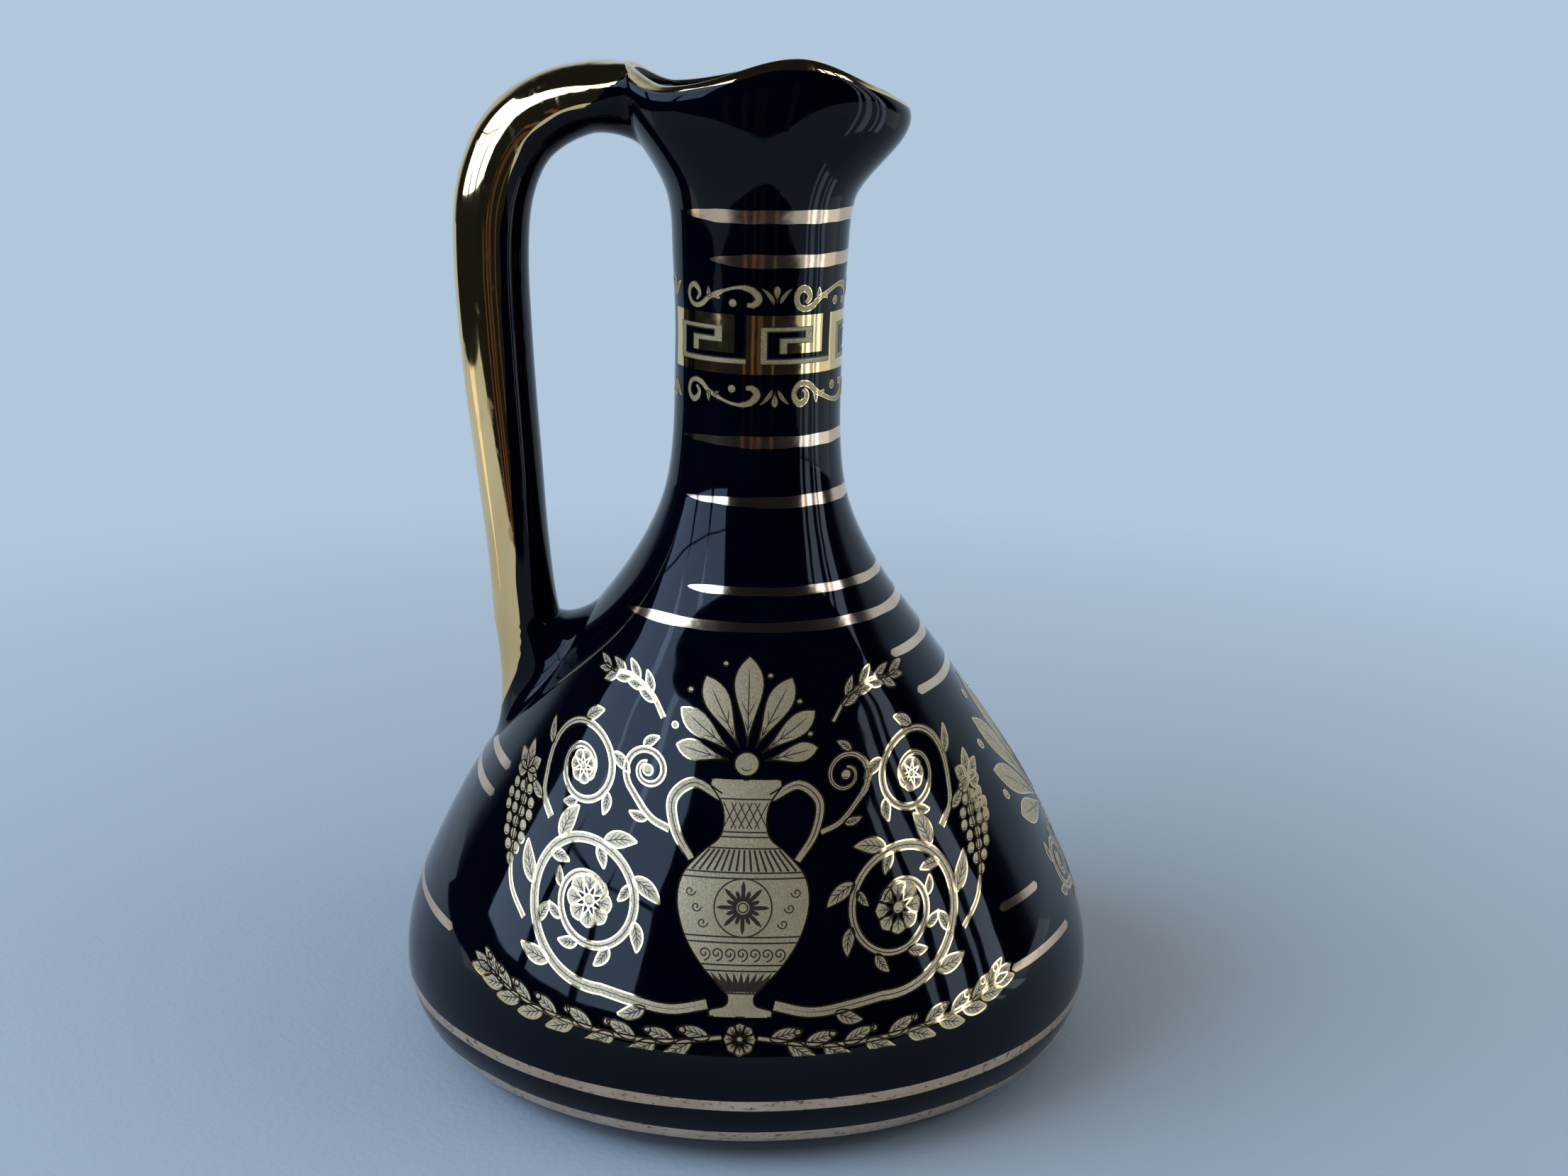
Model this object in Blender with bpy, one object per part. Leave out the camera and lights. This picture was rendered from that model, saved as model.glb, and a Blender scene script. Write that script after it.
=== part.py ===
"""Gilded ceramic jug: a slip-cast body, a luted ear handle and the gold layers fired on over the glaze.

Sizes are in millimetres and degrees. +Z is up, the pouring end points to +X and the handle to -X.
An angle round the jug is 0 at the front (-Y), +90 at the pouring end and -90 at the handle.
"""
import math

import bmesh
import bpy
from mathutils import Vector

MM = 0.001
SEGMENTS = 48
SEGMENT_ANGLE = 360.0 / SEGMENTS
POURING_ANGLE = 90.0

# Foot and belly
FOOT_RADIUS = 41.0
FOOT_RING_WIDTH = 5.0
FOOT_RECESS = 1.6
FLOOR_THICKNESS = 3.6
BELLY_HEIGHT = 13.5
BELLY_RADIUS = 53.7
FLANK_HEIGHT = 36.0
FLANK_RADIUS = 46.2
SHOULDER_HEIGHT = 60.0
SHOULDER_RADIUS = 30.3

# Neck
THROAT_HEIGHT = 76.0
THROAT_RADIUS = 18.5
NECK_ROOT_HEIGHT = 88.0
NECK_ROOT_RADIUS = 13.45
NECK_WAIST_HEIGHT = 108.0
NECK_WAIST_RADIUS = 12.45
NECK_TOP_HEIGHT = 122.0
NECK_TOP_RADIUS = 12.95
COLLAR_HEIGHT = 130.0
COLLAR_RADIUS = 13.7
COLLAR_SLOPE = 0.25
WALL = 3.0

# Mouth: an oval rim, low at the pouring end, high on both sides, low again and then swept up to the handle;
# the angles are counted from the pouring end
MOUTH_LENGTH = 43.6
MOUTH_WIDTH = 32.4
MOUTH_SHIFT = -0.3
LIP_TIP_HEIGHT = 144.3
LIP_CREST_HEIGHT = 150.0
LIP_DIP_HEIGHT = 146.2
LIP_BACK_HEIGHT = 149.0
LIP_CREST_ANGLE = 70.0
LIP_DIP_ANGLE = 140.0
LIP_BACK_ANGLE = 170.0
LIP_THICKNESS = 3.0
LIP_ROUND = 2.2

# Handle: X, Z and thickness along its centre line, from the lip down to the shoulder
HANDLE_POINTS = (
    (-14.5, 142.0, 8.8),
    (-22.0, 144.1, 9.9),
    (-29.5, 142.6, 10.8),
    (-35.6, 138.2, 11.4),
    (-38.9, 130.8, 11.4),
    (-39.7, 121.0, 11.1),
    (-38.9, 106.0, 10.7),
    (-37.4, 90.0, 10.0),
    (-36.1, 77.0, 9.4),
    (-34.9, 66.0, 10.0),
    (-32.9, 57.0, 11.8),
    (-31.0, 49.5, 13.0),
)
HANDLE_WIDTH = 12.0
HANDLE_ROOT_WIDTH = 15.0
HANDLE_ROOT_SHARE = 0.125
LUTING_GAP = 0.4

# Gold layers
FILM_GAP = 0.12
FILM_THICKNESS = 0.15
NECK_LINE_WIDTH = 1.9
BELLY_LINE_WIDTH = 1.6
LIP_GOLD_FIRST_ANGLE = 60.0
HANDLE_GOLD_GAP = 0.16
HANDLE_GOLD_REACH = 104.0
HANDLE_GOLD_START = 0.09
HANDLE_GOLD_END = 0.95
HANDLE_GOLD_TAPER = 5

# Lines of gold: name, height, first angle and last angle
NECK_LINES = (
    ("neck_line_top", 128.6, -52.0, 230.0),
    ("neck_line_under_lip", 122.3, -31.0, 230.0),
    ("neck_line_above_root", 96.1, -57.0, 230.0),
    ("neck_line_root", 87.4, -48.0, 230.0),
)
BELLY_LINES = (
    ("shoulder_line_upper", 75.4, -30.0, 230.0),
    ("shoulder_line_lower", 70.9, -57.0, 230.0),
    ("pouring_side_line_upper", 65.6, 52.0, 128.0),
    ("pouring_side_line_lower", 60.3, 55.0, 125.0),
    ("belly_line_front_upper", 32.0, 50.0, 64.0),
    ("belly_line_front_lower", 24.0, 48.6, 71.0),
    ("belly_line_rear_upper", 32.0, 116.0, 130.0),
    ("belly_line_rear_lower", 24.0, 109.0, 131.4),
    ("handle_side_line_upper", 47.0, -116.0, -64.0),
    ("handle_side_line_middle", 43.1, -116.0, -64.0),
    ("handle_side_line_lower", 25.5, -123.0, -57.0),
)
# Rings of gold round the foot: name and height
BASE_RINGS = (("base_line_upper", 11.8), ("base_line_lower", 6.0))
RING_FIRST_ANGLE = -180.0
RING_LAST_ANGLE = 180.0

# Greek key: the strip starts beside the handle, a drop below the line under the lip;
# one unit is a grid of filled and open cells
KEY_UNITS = 5
KEY_START = -70.8
KEY_DROP = 7.75
KEY_TOP = NECK_LINES[1][1] - KEY_DROP
KEY_COLUMN_ANGLES = (14.2, 8.2, 18.5, 14.6, 7.8)
KEY_ROW_HEIGHTS = (2.3, 0.95, 2.25, 0.8, 2.25)
KEY_ROWS = ("####.", "#..#.", "#.##.", "#....", "#####")

# Printed layers: a vase under a palmette on each side, and a palmette under the pouring end.
# They are drawn in millimetres across and up the slant of the belly.
PRINT_LOW = 19.0
# Length up the slant and half width of the vase
VASE = (
    (5.4, 4.3),
    (6.3, 4.2),
    (6.9, 2.2),
    (8.0, 1.8),
    (9.2, 2.6),
    (12.0, 5.4),
    (16.0, 8.0),
    (20.5, 9.2),
    (24.5, 8.5),
    (27.8, 5.8),
    (29.8, 3.6),
    (32.0, 3.0),
    (34.5, 3.3),
    (36.4, 4.4),
    (38.2, 4.9),
    (38.4, 1.6),
)
# Outline of the bud that carries the ornament, in the same measures
BUD = ((8.0, 0.1), (11.0, 1.6), (13.5, 2.0), (16.0, 1.4), (17.8, 1.6))
PALMETTE_RISE = 2.2
VASE_PALMETTE_LENGTH = 13.5
BUD_PALMETTE_LENGTH = 22.0
PALMETTE_PETALS = 7
PALMETTE_SPREAD = 78.0
PETAL_START = 2.6
PETAL_ROOT = 0.55
PETAL_FILL = 0.8
PETAL_WIDEST = 0.68
PETAL_TIP = 0.12
SIDE_PETAL_SHORTENING = 0.42

# Facets
CORNER_STEPS = 5
FLANK_STEPS = 16
MOUTH_STEPS = 5
LIP_STEPS = 6
HANDLE_STEPS = 3
HANDLE_SIDES = 18
GOLD_COLUMNS = 8
PETAL_STEPS = 4
SLANT_STEP = 0.1
SHARP_ANGLE = 40.0
PLACE_DIGITS = 3
CUT_TOLERANCE = 2e-3

BLACK_GLAZE = (0.006, 0.008, 0.014, 1.0)
BRIGHT_GOLD = (0.80, 0.56, 0.22, 1.0)
ROSE_GOLD = (0.74, 0.50, 0.34, 1.0)
PRINT_GOLD = (0.46, 0.40, 0.20, 1.0)


def clear_scene():
    for item in list(bpy.data.objects):
        bpy.data.objects.remove(item)


def principled(name, colour, roughness, metallic):
    material = bpy.data.materials.new(name)
    material.use_nodes = True
    shader = material.node_tree.nodes["Principled BSDF"]
    shader.inputs["Base Color"].default_value = colour
    shader.inputs["Roughness"].default_value = roughness
    shader.inputs["Metallic"].default_value = metallic
    return material


def add_object(name, mesh, material):
    """Finish a bmesh whose points are in millimetres as a named object in metres."""
    bmesh.ops.recalc_face_normals(mesh, faces=mesh.faces)
    bmesh.ops.scale(mesh, vec=(MM, MM, MM), verts=mesh.verts)
    data = bpy.data.meshes.new(name)
    mesh.to_mesh(data)
    mesh.free()
    data.materials.append(material)
    data.shade_smooth()
    data.set_sharp_from_angle(angle=math.radians(SHARP_ANGLE))
    item = bpy.data.objects.new(name, data)
    bpy.context.collection.objects.link(item)
    return item


def around(angle, radius, height):
    turn = math.radians(angle)
    return Vector((radius * math.sin(turn), -radius * math.cos(turn), height))


def hermite(t, start, start_slope, end, end_slope):
    rise = t * t * (3.0 - 2.0 * t)
    lead = t * (1.0 - t) ** 2
    trail = t * t * (t - 1.0)
    return start + (end - start) * rise + start_slope * lead + end_slope * trail


# The turned outline of belly and neck: height, radius
FLANK = (
    (BELLY_HEIGHT, BELLY_RADIUS),
    (FLANK_HEIGHT, FLANK_RADIUS),
    (SHOULDER_HEIGHT, SHOULDER_RADIUS),
    (THROAT_HEIGHT, THROAT_RADIUS),
    (NECK_ROOT_HEIGHT, NECK_ROOT_RADIUS),
    (NECK_WAIST_HEIGHT, NECK_WAIST_RADIUS),
    (NECK_TOP_HEIGHT, NECK_TOP_RADIUS),
    (COLLAR_HEIGHT, COLLAR_RADIUS),
)


def flank_slope(index):
    if index == 0:
        return 0.0
    if index == len(FLANK) - 1:
        return COLLAR_SLOPE
    below, above = FLANK[index - 1], FLANK[index + 1]
    return (above[1] - below[1]) / (above[0] - below[0])


def flank_radius(height):
    for index in range(len(FLANK) - 1):
        low, high = FLANK[index], FLANK[index + 1]
        if height <= high[0]:
            break
    span = high[0] - low[0]
    t = (height - low[0]) / span
    return hermite(t, low[1], flank_slope(index) * span, high[1], flank_slope(index + 1) * span)


def flank_heights(steps):
    rise = COLLAR_HEIGHT - BELLY_HEIGHT
    return [BELLY_HEIGHT + rise * step / steps for step in range(1, steps + 1)]


def corner(foot_radius, floor, belly_radius, steps):
    """Quarter oval from the foot up to the widest part of the belly."""
    points = []
    for step in range(1, steps + 1):
        turn = math.radians(90.0 * step / steps)
        radius = foot_radius + (belly_radius - foot_radius) * math.sin(turn)
        points.append((radius, BELLY_HEIGHT - (BELLY_HEIGHT - floor) * math.cos(turn)))
    return points


# Turning points of the rim: angle from the pouring end, height
LIP_TURNS = (
    (0.0, LIP_TIP_HEIGHT),
    (LIP_CREST_ANGLE, LIP_CREST_HEIGHT),
    (LIP_DIP_ANGLE, LIP_DIP_HEIGHT),
    (LIP_BACK_ANGLE, LIP_BACK_HEIGHT),
)


def mouth_radius(angle):
    """Radius of the oval rim, whose centre lies a little towards the handle."""
    x, y = math.sin(math.radians(angle)), math.cos(math.radians(angle))
    a, b = MOUTH_LENGTH / 2.0, MOUTH_WIDTH / 2.0
    p = (x / a) ** 2 + (y / b) ** 2
    q = -x * MOUTH_SHIFT / a ** 2
    r = (MOUTH_SHIFT / a) ** 2 - 1.0
    return (-q + math.sqrt(q * q - p * r)) / p


def lip_height(angle):
    """Height of the rim, level at each of its turning points and smooth between them."""
    away = abs((angle - POURING_ANGLE + 180.0) % 360.0 - 180.0)
    for (first, start), (last, end) in zip(LIP_TURNS, LIP_TURNS[1:]):
        if away <= last:
            return hermite((away - first) / (last - first), start, 0.0, end, 0.0)
    return LIP_BACK_HEIGHT


def mouth(angle, inset_low, inset_high):
    """The flare from the collar up to the widest part of the lip."""
    rise = lip_height(angle) - LIP_ROUND - COLLAR_HEIGHT
    points = []
    for step in range(1, MOUTH_STEPS + 1):
        t = step / MOUTH_STEPS
        end = mouth_radius(angle) - inset_high
        radius = hermite(t, COLLAR_RADIUS - inset_low, COLLAR_SLOPE * rise, end, 0.0)
        points.append((radius, COLLAR_HEIGHT + rise * t))
    return points


def lip(angle, gap=0.0):
    """The rolled top of the lip, from its outer to its inner side."""
    middle = mouth_radius(angle) - LIP_THICKNESS / 2.0
    base = lip_height(angle) - LIP_ROUND
    points = []
    for step in range(1, LIP_STEPS):
        turn = math.pi * step / LIP_STEPS
        across = (LIP_THICKNESS / 2.0 + gap) * math.cos(turn)
        points.append((middle + across, base + (LIP_ROUND + gap) * math.sin(turn)))
    return points


def outer_outline(angle):
    points = [(FOOT_RADIUS, 0.0)]
    points += corner(FOOT_RADIUS, 0.0, BELLY_RADIUS, CORNER_STEPS)
    points += [(flank_radius(height), height) for height in flank_heights(FLANK_STEPS)]
    points += mouth(angle, 0.0, 0.0)
    return points


def inner_outline(angle):
    """The inside, from the lip down to the floor, a wall's thickness behind the outside."""
    floor = FOOT_RECESS + FLOOR_THICKNESS
    points = corner(FOOT_RADIUS - WALL, floor, BELLY_RADIUS - WALL, CORNER_STEPS)
    points.insert(0, (FOOT_RADIUS - WALL, floor))
    for height in flank_heights(FLANK_STEPS // 2):
        lean = flank_radius(height) - flank_radius(height - 1.0)
        points.append((flank_radius(height) - WALL * math.hypot(1.0, lean), height))
    collar_wall = WALL * math.hypot(1.0, COLLAR_SLOPE)
    points += mouth(angle, collar_wall, LIP_THICKNESS)
    points.reverse()
    return points


def offset(points, distance):
    """Move an outline outwards along its own normals."""
    moved = []
    for index, point in enumerate(points):
        before = points[max(index - 1, 0)]
        after = points[min(index + 1, len(points) - 1)]
        along = Vector((after[0] - before[0], after[1] - before[1])).normalized()
        moved.append((point[0] + along.y * distance, point[1] - along.x * distance))
    return moved


def loft(outlines, bottom=None, top=None):
    """Skin the outlines that stand at even angles round the axis; bottom and top are poles on the axis."""
    mesh = bmesh.new()
    columns = []
    for index, outline in enumerate(outlines):
        angle = 360.0 * index / len(outlines)
        columns.append([mesh.verts.new(around(angle, *point)) for point in outline])
    for index, column in enumerate(columns):
        following = columns[(index + 1) % len(columns)]
        for row in range(len(column) - 1):
            mesh.faces.new((column[row], following[row], following[row + 1], column[row + 1]))
    for height, row in ((bottom, 0), (top, -1)):
        if height is None:
            continue
        pole = mesh.verts.new((0.0, 0.0, height))
        for index, column in enumerate(columns):
            following = columns[(index + 1) % len(columns)]
            mesh.faces.new((column[row], following[row], pole))
    return mesh


def ring_angles():
    return [SEGMENT_ANGLE * index for index in range(SEGMENTS)]


def make_body(material):
    ring_inside = FOOT_RADIUS - FOOT_RING_WIDTH
    foot = [(ring_inside - FOOT_RECESS, FOOT_RECESS), (ring_inside, 0.0)]
    outlines = [foot + outer_outline(angle) + lip(angle) + inner_outline(angle) for angle in ring_angles()]
    mesh = loft(outlines, bottom=FOOT_RECESS, top=FOOT_RECESS + FLOOR_THICKNESS)
    return add_object("jug_body", mesh, material)


def make_luting_cutter():
    """The body's filled outside, grown by the luting gap, which trims both ends of the handle."""
    outlines = []
    for angle in ring_angles():
        upper_lip = lip(angle)[:LIP_STEPS // 2]
        outlines.append(offset(outer_outline(angle) + upper_lip, LUTING_GAP))
    mesh = loft(outlines, bottom=0.0, top=LIP_CREST_HEIGHT + LUTING_GAP)
    cutter = add_object("luting_cutter", mesh, principled("cutter", BLACK_GLAZE, 0.5, 0.0))
    cutter.hide_render = True
    cutter.display_type = "WIRE"
    return cutter


def handle_stations():
    """Points along the handle's centre line: place, outward direction, thickness and share of its length."""
    count = len(HANDLE_POINTS)
    stations = []
    for index in range(count - 1):
        near = [Vector(HANDLE_POINTS[min(max(index + k, 0), count - 1)]) for k in (-1, 0, 1, 2)]
        start_pull, end_pull = (near[2] - near[0]) / 2.0, (near[3] - near[1]) / 2.0
        for step in range(HANDLE_STEPS):
            t = step / HANDLE_STEPS
            values = zip(near[1], start_pull, near[2], end_pull)
            stations.append([hermite(t, *value) for value in values])
    stations.append(list(HANDLE_POINTS[-1]))
    result = []
    for index, (x, z, thickness) in enumerate(stations):
        before, after = stations[max(index - 1, 0)], stations[min(index + 1, len(stations) - 1)]
        along = Vector((after[0] - before[0], 0.0, after[1] - before[1])).normalized()
        outward = Vector((along.z, 0.0, -along.x))
        result.append((Vector((x, 0.0, z)), outward, thickness, index / (len(stations) - 1)))
    return result


def handle_point(station, turn, gap=0.0):
    """A point on the oval section; turn 0 is the handle's outer edge."""
    centre, outward, thickness, share = station
    root = max(0.0, 1.0 - min(share, 1.0 - share) / HANDLE_ROOT_SHARE)
    width = HANDLE_WIDTH + (HANDLE_ROOT_WIDTH - HANDLE_WIDTH) * root
    out = outward * (thickness / 2.0 + gap) * math.cos(math.radians(turn))
    side = Vector((0.0, (width / 2.0 + gap) * math.sin(math.radians(turn)), 0.0))
    return centre + out + side


def make_handle(material, cutter):
    mesh = bmesh.new()
    turns = [360.0 * side / HANDLE_SIDES for side in range(HANDLE_SIDES)]
    rings = [[mesh.verts.new(handle_point(station, turn)) for turn in turns] for station in handle_stations()]
    for ring, following in zip(rings, rings[1:]):
        for side in range(HANDLE_SIDES):
            ahead = (side + 1) % HANDLE_SIDES
            mesh.faces.new((ring[side], ring[ahead], following[ahead], following[side]))
    mesh.faces.new(rings[0])
    mesh.faces.new(rings[-1])
    handle = add_object("handle", mesh, material)
    trim = handle.modifiers.new("luting", "BOOLEAN")
    trim.operation = "DIFFERENCE"
    trim.solver = "EXACT"
    trim.object = cutter
    return handle


def thick_sheet(inner, outer, closed):
    """A thin solid between two grids of points; closed joins the last row to the first."""
    mesh = bmesh.new()
    grids = [[[mesh.verts.new(point) for point in row] for row in grid] for grid in (inner, outer)]
    rows, columns = len(inner), len(inner[0])
    last_row = rows if closed else rows - 1
    for grid in grids:
        for row in range(last_row):
            ahead = (row + 1) % rows
            for column in range(columns - 1):
                near, far = grid[row][column:column + 2], grid[ahead][column:column + 2]
                mesh.faces.new((near[0], far[0], far[1], near[1]))
    under, over = grids
    for row in range(last_row):
        ahead = (row + 1) % rows
        for edge in (0, columns - 1):
            mesh.faces.new((under[row][edge], under[ahead][edge], over[ahead][edge], over[row][edge]))
    if not closed:
        for row in (0, rows - 1):
            for edge in range(columns - 1):
                mesh.faces.new((under[row][edge], under[row][edge + 1], over[row][edge + 1], over[row][edge]))
    return mesh


def make_handle_gilding(material):
    layers = []
    for gap in (HANDLE_GOLD_GAP, HANDLE_GOLD_GAP + FILM_THICKNESS):
        grid = []
        for station in handle_stations():
            share = station[3]
            if not HANDLE_GOLD_START <= share <= HANDLE_GOLD_END:
                continue
            reach = HANDLE_GOLD_REACH * math.sqrt(1.0 - (share / HANDLE_GOLD_END) ** HANDLE_GOLD_TAPER)
            turns = [reach * (2.0 * column / GOLD_COLUMNS - 1.0) for column in range(GOLD_COLUMNS + 1)]
            grid.append([handle_point(station, turn, gap) for turn in turns])
        layers.append(grid)
    return add_object("handle_gilding", thick_sheet(*layers, closed=False), material)


def make_lip_gilding(material):
    first = round(LIP_STEPS * LIP_GOLD_FIRST_ANGLE / 180.0) - 1
    layers = []
    for gap in (FILM_GAP, FILM_GAP + FILM_THICKNESS):
        grid = []
        for angle in ring_angles():
            arc = lip(angle, gap)
            grid.append([around(angle, *point) for point in arc[first:len(arc) - first]])
        layers.append(grid)
    return add_object("lip_gilding", thick_sheet(*layers, closed=True), material)


OUTLINE = [point for point in outer_outline(0.0) if point[1] <= COLLAR_HEIGHT]


def facet_point(angle, height, gap):
    """A point over the faceted belly or neck, at a gap from the facet below it."""
    for low, high in zip(OUTLINE, OUTLINE[1:]):
        if height <= high[1]:
            break
    radius = low[0] + (high[0] - low[0]) * (height - low[1]) / (high[1] - low[1])
    half = SEGMENT_ANGLE / 2.0
    within = angle % SEGMENT_ANGLE - half
    chord = math.cos(math.radians(half)) / math.cos(math.radians(within))
    return around(angle, (radius + gap) * chord, height)


def cut_at_facets(flat):
    """Cut a flat mesh of angle and height along every edge of the faceted body that it crosses."""
    angles = [vertex.co.x for vertex in flat.verts]
    heights = [vertex.co.y for vertex in flat.verts]
    first = math.floor(min(angles) / SEGMENT_ANGLE) + 1
    last = math.ceil(max(angles) / SEGMENT_ANGLE)
    cuts = [((SEGMENT_ANGLE * index, 0.0, 0.0), (1.0, 0.0, 0.0)) for index in range(first, last)]
    levels = [height for _, height in OUTLINE if min(heights) < height < max(heights)]
    cuts += [((0.0, level, 0.0), (0.0, 1.0, 0.0)) for level in levels]
    for place, normal in cuts:
        parts = flat.verts[:] + flat.edges[:] + flat.faces[:]
        bmesh.ops.bisect_plane(flat, geom=parts, dist=CUT_TOLERANCE, plane_co=place, plane_no=normal)
    bmesh.ops.triangulate(flat, faces=flat.faces)


def make_film(name, flat, material):
    """Wrap a flat mesh of angle and height round the jug as a thin solid that follows its facets."""
    cut_at_facets(flat)
    mesh = bmesh.new()
    pairs = {}
    walls = {}
    for face in flat.faces:
        corners = []
        for vertex in face.verts:
            angle, height = vertex.co.x, vertex.co.y
            place = (round(angle % 360.0, PLACE_DIGITS) % 360.0, round(height, PLACE_DIGITS))
            if place not in pairs:
                under = mesh.verts.new(facet_point(angle, height, FILM_GAP))
                over = mesh.verts.new(facet_point(angle, height, FILM_GAP + FILM_THICKNESS))
                pairs[place] = (under, over)
            corners.append(place)
        mesh.faces.new([pairs[place][0] for place in reversed(corners)])
        mesh.faces.new([pairs[place][1] for place in corners])
        for start, end in zip(corners, corners[1:] + corners[:1]):
            if walls.pop((end, start), None) is None:
                walls[(start, end)] = True
    flat.free()
    for start, end in walls:
        mesh.faces.new((pairs[start][0], pairs[end][0], pairs[end][1], pairs[start][1]))
    return add_object(name, mesh, material)


def flat_strip(first, last, middle, width):
    flat = bmesh.new()
    low, high = middle - width / 2.0, middle + width / 2.0
    corners = ((first, low), (last, low), (last, high), (first, high))
    flat.faces.new([flat.verts.new((angle, height, 0.0)) for angle, height in corners])
    return flat


def flat_key():
    """The Greek key as a flat mesh of filled cells that share their corners."""
    flat = bmesh.new()
    angles = [KEY_START]
    for _ in range(KEY_UNITS):
        for width in KEY_COLUMN_ANGLES:
            angles.append(angles[-1] + width)
    heights = [KEY_TOP]
    for depth in KEY_ROW_HEIGHTS:
        heights.append(heights[-1] - depth)
    verts = {}
    for row, cells in enumerate(KEY_ROWS):
        for column, cell in enumerate(cells * KEY_UNITS):
            if cell != "#":
                continue
            corners = []
            for down, right in ((1, 0), (1, 1), (0, 1), (0, 0)):
                place = (column + right, row + down)
                if place not in verts:
                    verts[place] = flat.verts.new((angles[place[0]], heights[place[1]], 0.0))
                corners.append(verts[place])
            flat.faces.new(corners)
    return flat


def slant_height(length):
    """The height reached by going a length up the slant of the belly from the foot of the print."""
    height = PRINT_LOW
    while length > 0.0:
        lean = flank_radius(height + SLANT_STEP) - flank_radius(height)
        length -= math.hypot(SLANT_STEP, lean)
        height += SLANT_STEP
    return height


def add_point(flat, middle_angle, across, length):
    """A corner of the print, drawn in millimetres across and up the slant about a middle angle."""
    height = slant_height(length)
    return flat.verts.new((middle_angle + math.degrees(across / flank_radius(height)), height, 0.0))


def add_band(flat, pairs):
    for near, far in zip(pairs, pairs[1:]):
        flat.faces.new((near[0], near[1], far[1], far[0]))


def petal_edges(foot, turn, length, room):
    """Pairs of edge points from a petal's root to its tip; turn 90 points straight up."""
    along = Vector((math.cos(math.radians(turn)), math.sin(math.radians(turn))))
    side = Vector((-along.y, along.x))
    edges = []
    for step in range(PETAL_STEPS + 1):
        t = step / PETAL_STEPS
        swell = math.sin(math.pi * t ** (math.log(0.5) / math.log(PETAL_WIDEST)))
        least = PETAL_ROOT + (PETAL_TIP - PETAL_ROOT) * t
        half = max(PETAL_FILL * room * swell, least) / 2.0
        spine = Vector((0.0, foot)) + along * (PETAL_START + length * t)
        edges.append((spine + side * half, spine - side * half))
    return edges


def flat_palmette(middle_angle, stalk, length):
    """A stalk, given by its lengths and half widths, under a fan of petals that is longest in the middle."""
    flat = bmesh.new()
    pairs = [[add_point(flat, middle_angle, hand * half, level) for hand in (-1, 1)] for level, half in stalk]
    add_band(flat, pairs)
    foot = stalk[-1][0] + PALMETTE_RISE
    step = 2.0 * PALMETTE_SPREAD / (PALMETTE_PETALS - 1)
    hub = list(pairs[-1])
    for index in range(PALMETTE_PETALS):
        turn = 90.0 - PALMETTE_SPREAD + step * index
        petal_length = length * (1.0 - SIDE_PETAL_SHORTENING * abs(turn - 90.0) / PALMETTE_SPREAD)
        room = math.radians(step) * (PETAL_START + PETAL_WIDEST * petal_length)
        edges = petal_edges(foot, turn, petal_length, room)
        petal = [[add_point(flat, middle_angle, *point) for point in edge] for edge in edges]
        add_band(flat, petal)
        hub += reversed(petal[0])
    flat.faces.new(hub)
    return flat


def make_printed_layers(material):
    make_film("side_panel_front", flat_palmette(0.0, VASE, VASE_PALMETTE_LENGTH), material)
    make_film("side_panel_rear", flat_palmette(180.0, VASE, VASE_PALMETTE_LENGTH), material)
    make_film("pouring_side_ornament", flat_palmette(POURING_ANGLE, BUD, BUD_PALMETTE_LENGTH), material)
    make_film("greek_key_band", flat_key(), material)


def main():
    clear_scene()
    glaze = principled("black_glaze", BLACK_GLAZE, 0.06, 0.0)
    handle_glaze = principled("handle_glaze", BLACK_GLAZE, 0.06, 0.0)
    bright_gold = principled("bright_gold", BRIGHT_GOLD, 0.12, 1.0)
    line_gold = principled("line_gold", ROSE_GOLD, 0.22, 1.0)
    print_gold = principled("print_gold", PRINT_GOLD, 0.38, 1.0)
    make_body(glaze)
    make_handle(handle_glaze, make_luting_cutter())
    make_lip_gilding(bright_gold)
    make_handle_gilding(bright_gold)
    for lines, width in ((NECK_LINES, NECK_LINE_WIDTH), (BELLY_LINES, BELLY_LINE_WIDTH)):
        for name, height, first, last in lines:
            make_film(name, flat_strip(first, last, height, width), line_gold)
    for name, height in BASE_RINGS:
        make_film(name, flat_strip(RING_FIRST_ANGLE, RING_LAST_ANGLE, height, BELLY_LINE_WIDTH), line_gold)
    make_printed_layers(print_gold)


main()
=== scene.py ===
"""Looks of a gilded ceramic jug: black glaze, fired gold and the studio round it.

Sizes of the jug are in millimetres and degrees, in the part's frame: +X is the pouring end, -X the handle
and +Z up. An angle round the jug is 0 at the front (-Y), +90 at the pouring end and -90 at the handle.
Sizes of the studio are in metres, and its azimuths are angles round the jug.
"""
import math

import bpy
import numpy as np
from mathutils import Matrix, Vector


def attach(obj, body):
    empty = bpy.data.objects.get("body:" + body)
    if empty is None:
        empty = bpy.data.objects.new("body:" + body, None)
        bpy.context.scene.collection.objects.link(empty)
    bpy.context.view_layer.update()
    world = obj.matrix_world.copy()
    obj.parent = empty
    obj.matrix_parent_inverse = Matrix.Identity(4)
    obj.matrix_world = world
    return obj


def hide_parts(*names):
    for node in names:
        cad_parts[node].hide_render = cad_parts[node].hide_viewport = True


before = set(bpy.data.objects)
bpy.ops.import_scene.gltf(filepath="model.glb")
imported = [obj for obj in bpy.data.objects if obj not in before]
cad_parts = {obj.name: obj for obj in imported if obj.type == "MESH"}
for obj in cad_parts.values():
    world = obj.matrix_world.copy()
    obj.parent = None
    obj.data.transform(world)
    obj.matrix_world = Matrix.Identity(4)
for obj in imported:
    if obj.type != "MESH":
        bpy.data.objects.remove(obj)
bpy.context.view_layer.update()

MM = 0.001
POURING_ANGLE = 90.0
HANDLE_ANGLE = -90.0
RING_POINTS = 192
HANDLE_SIDES = 64

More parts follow.
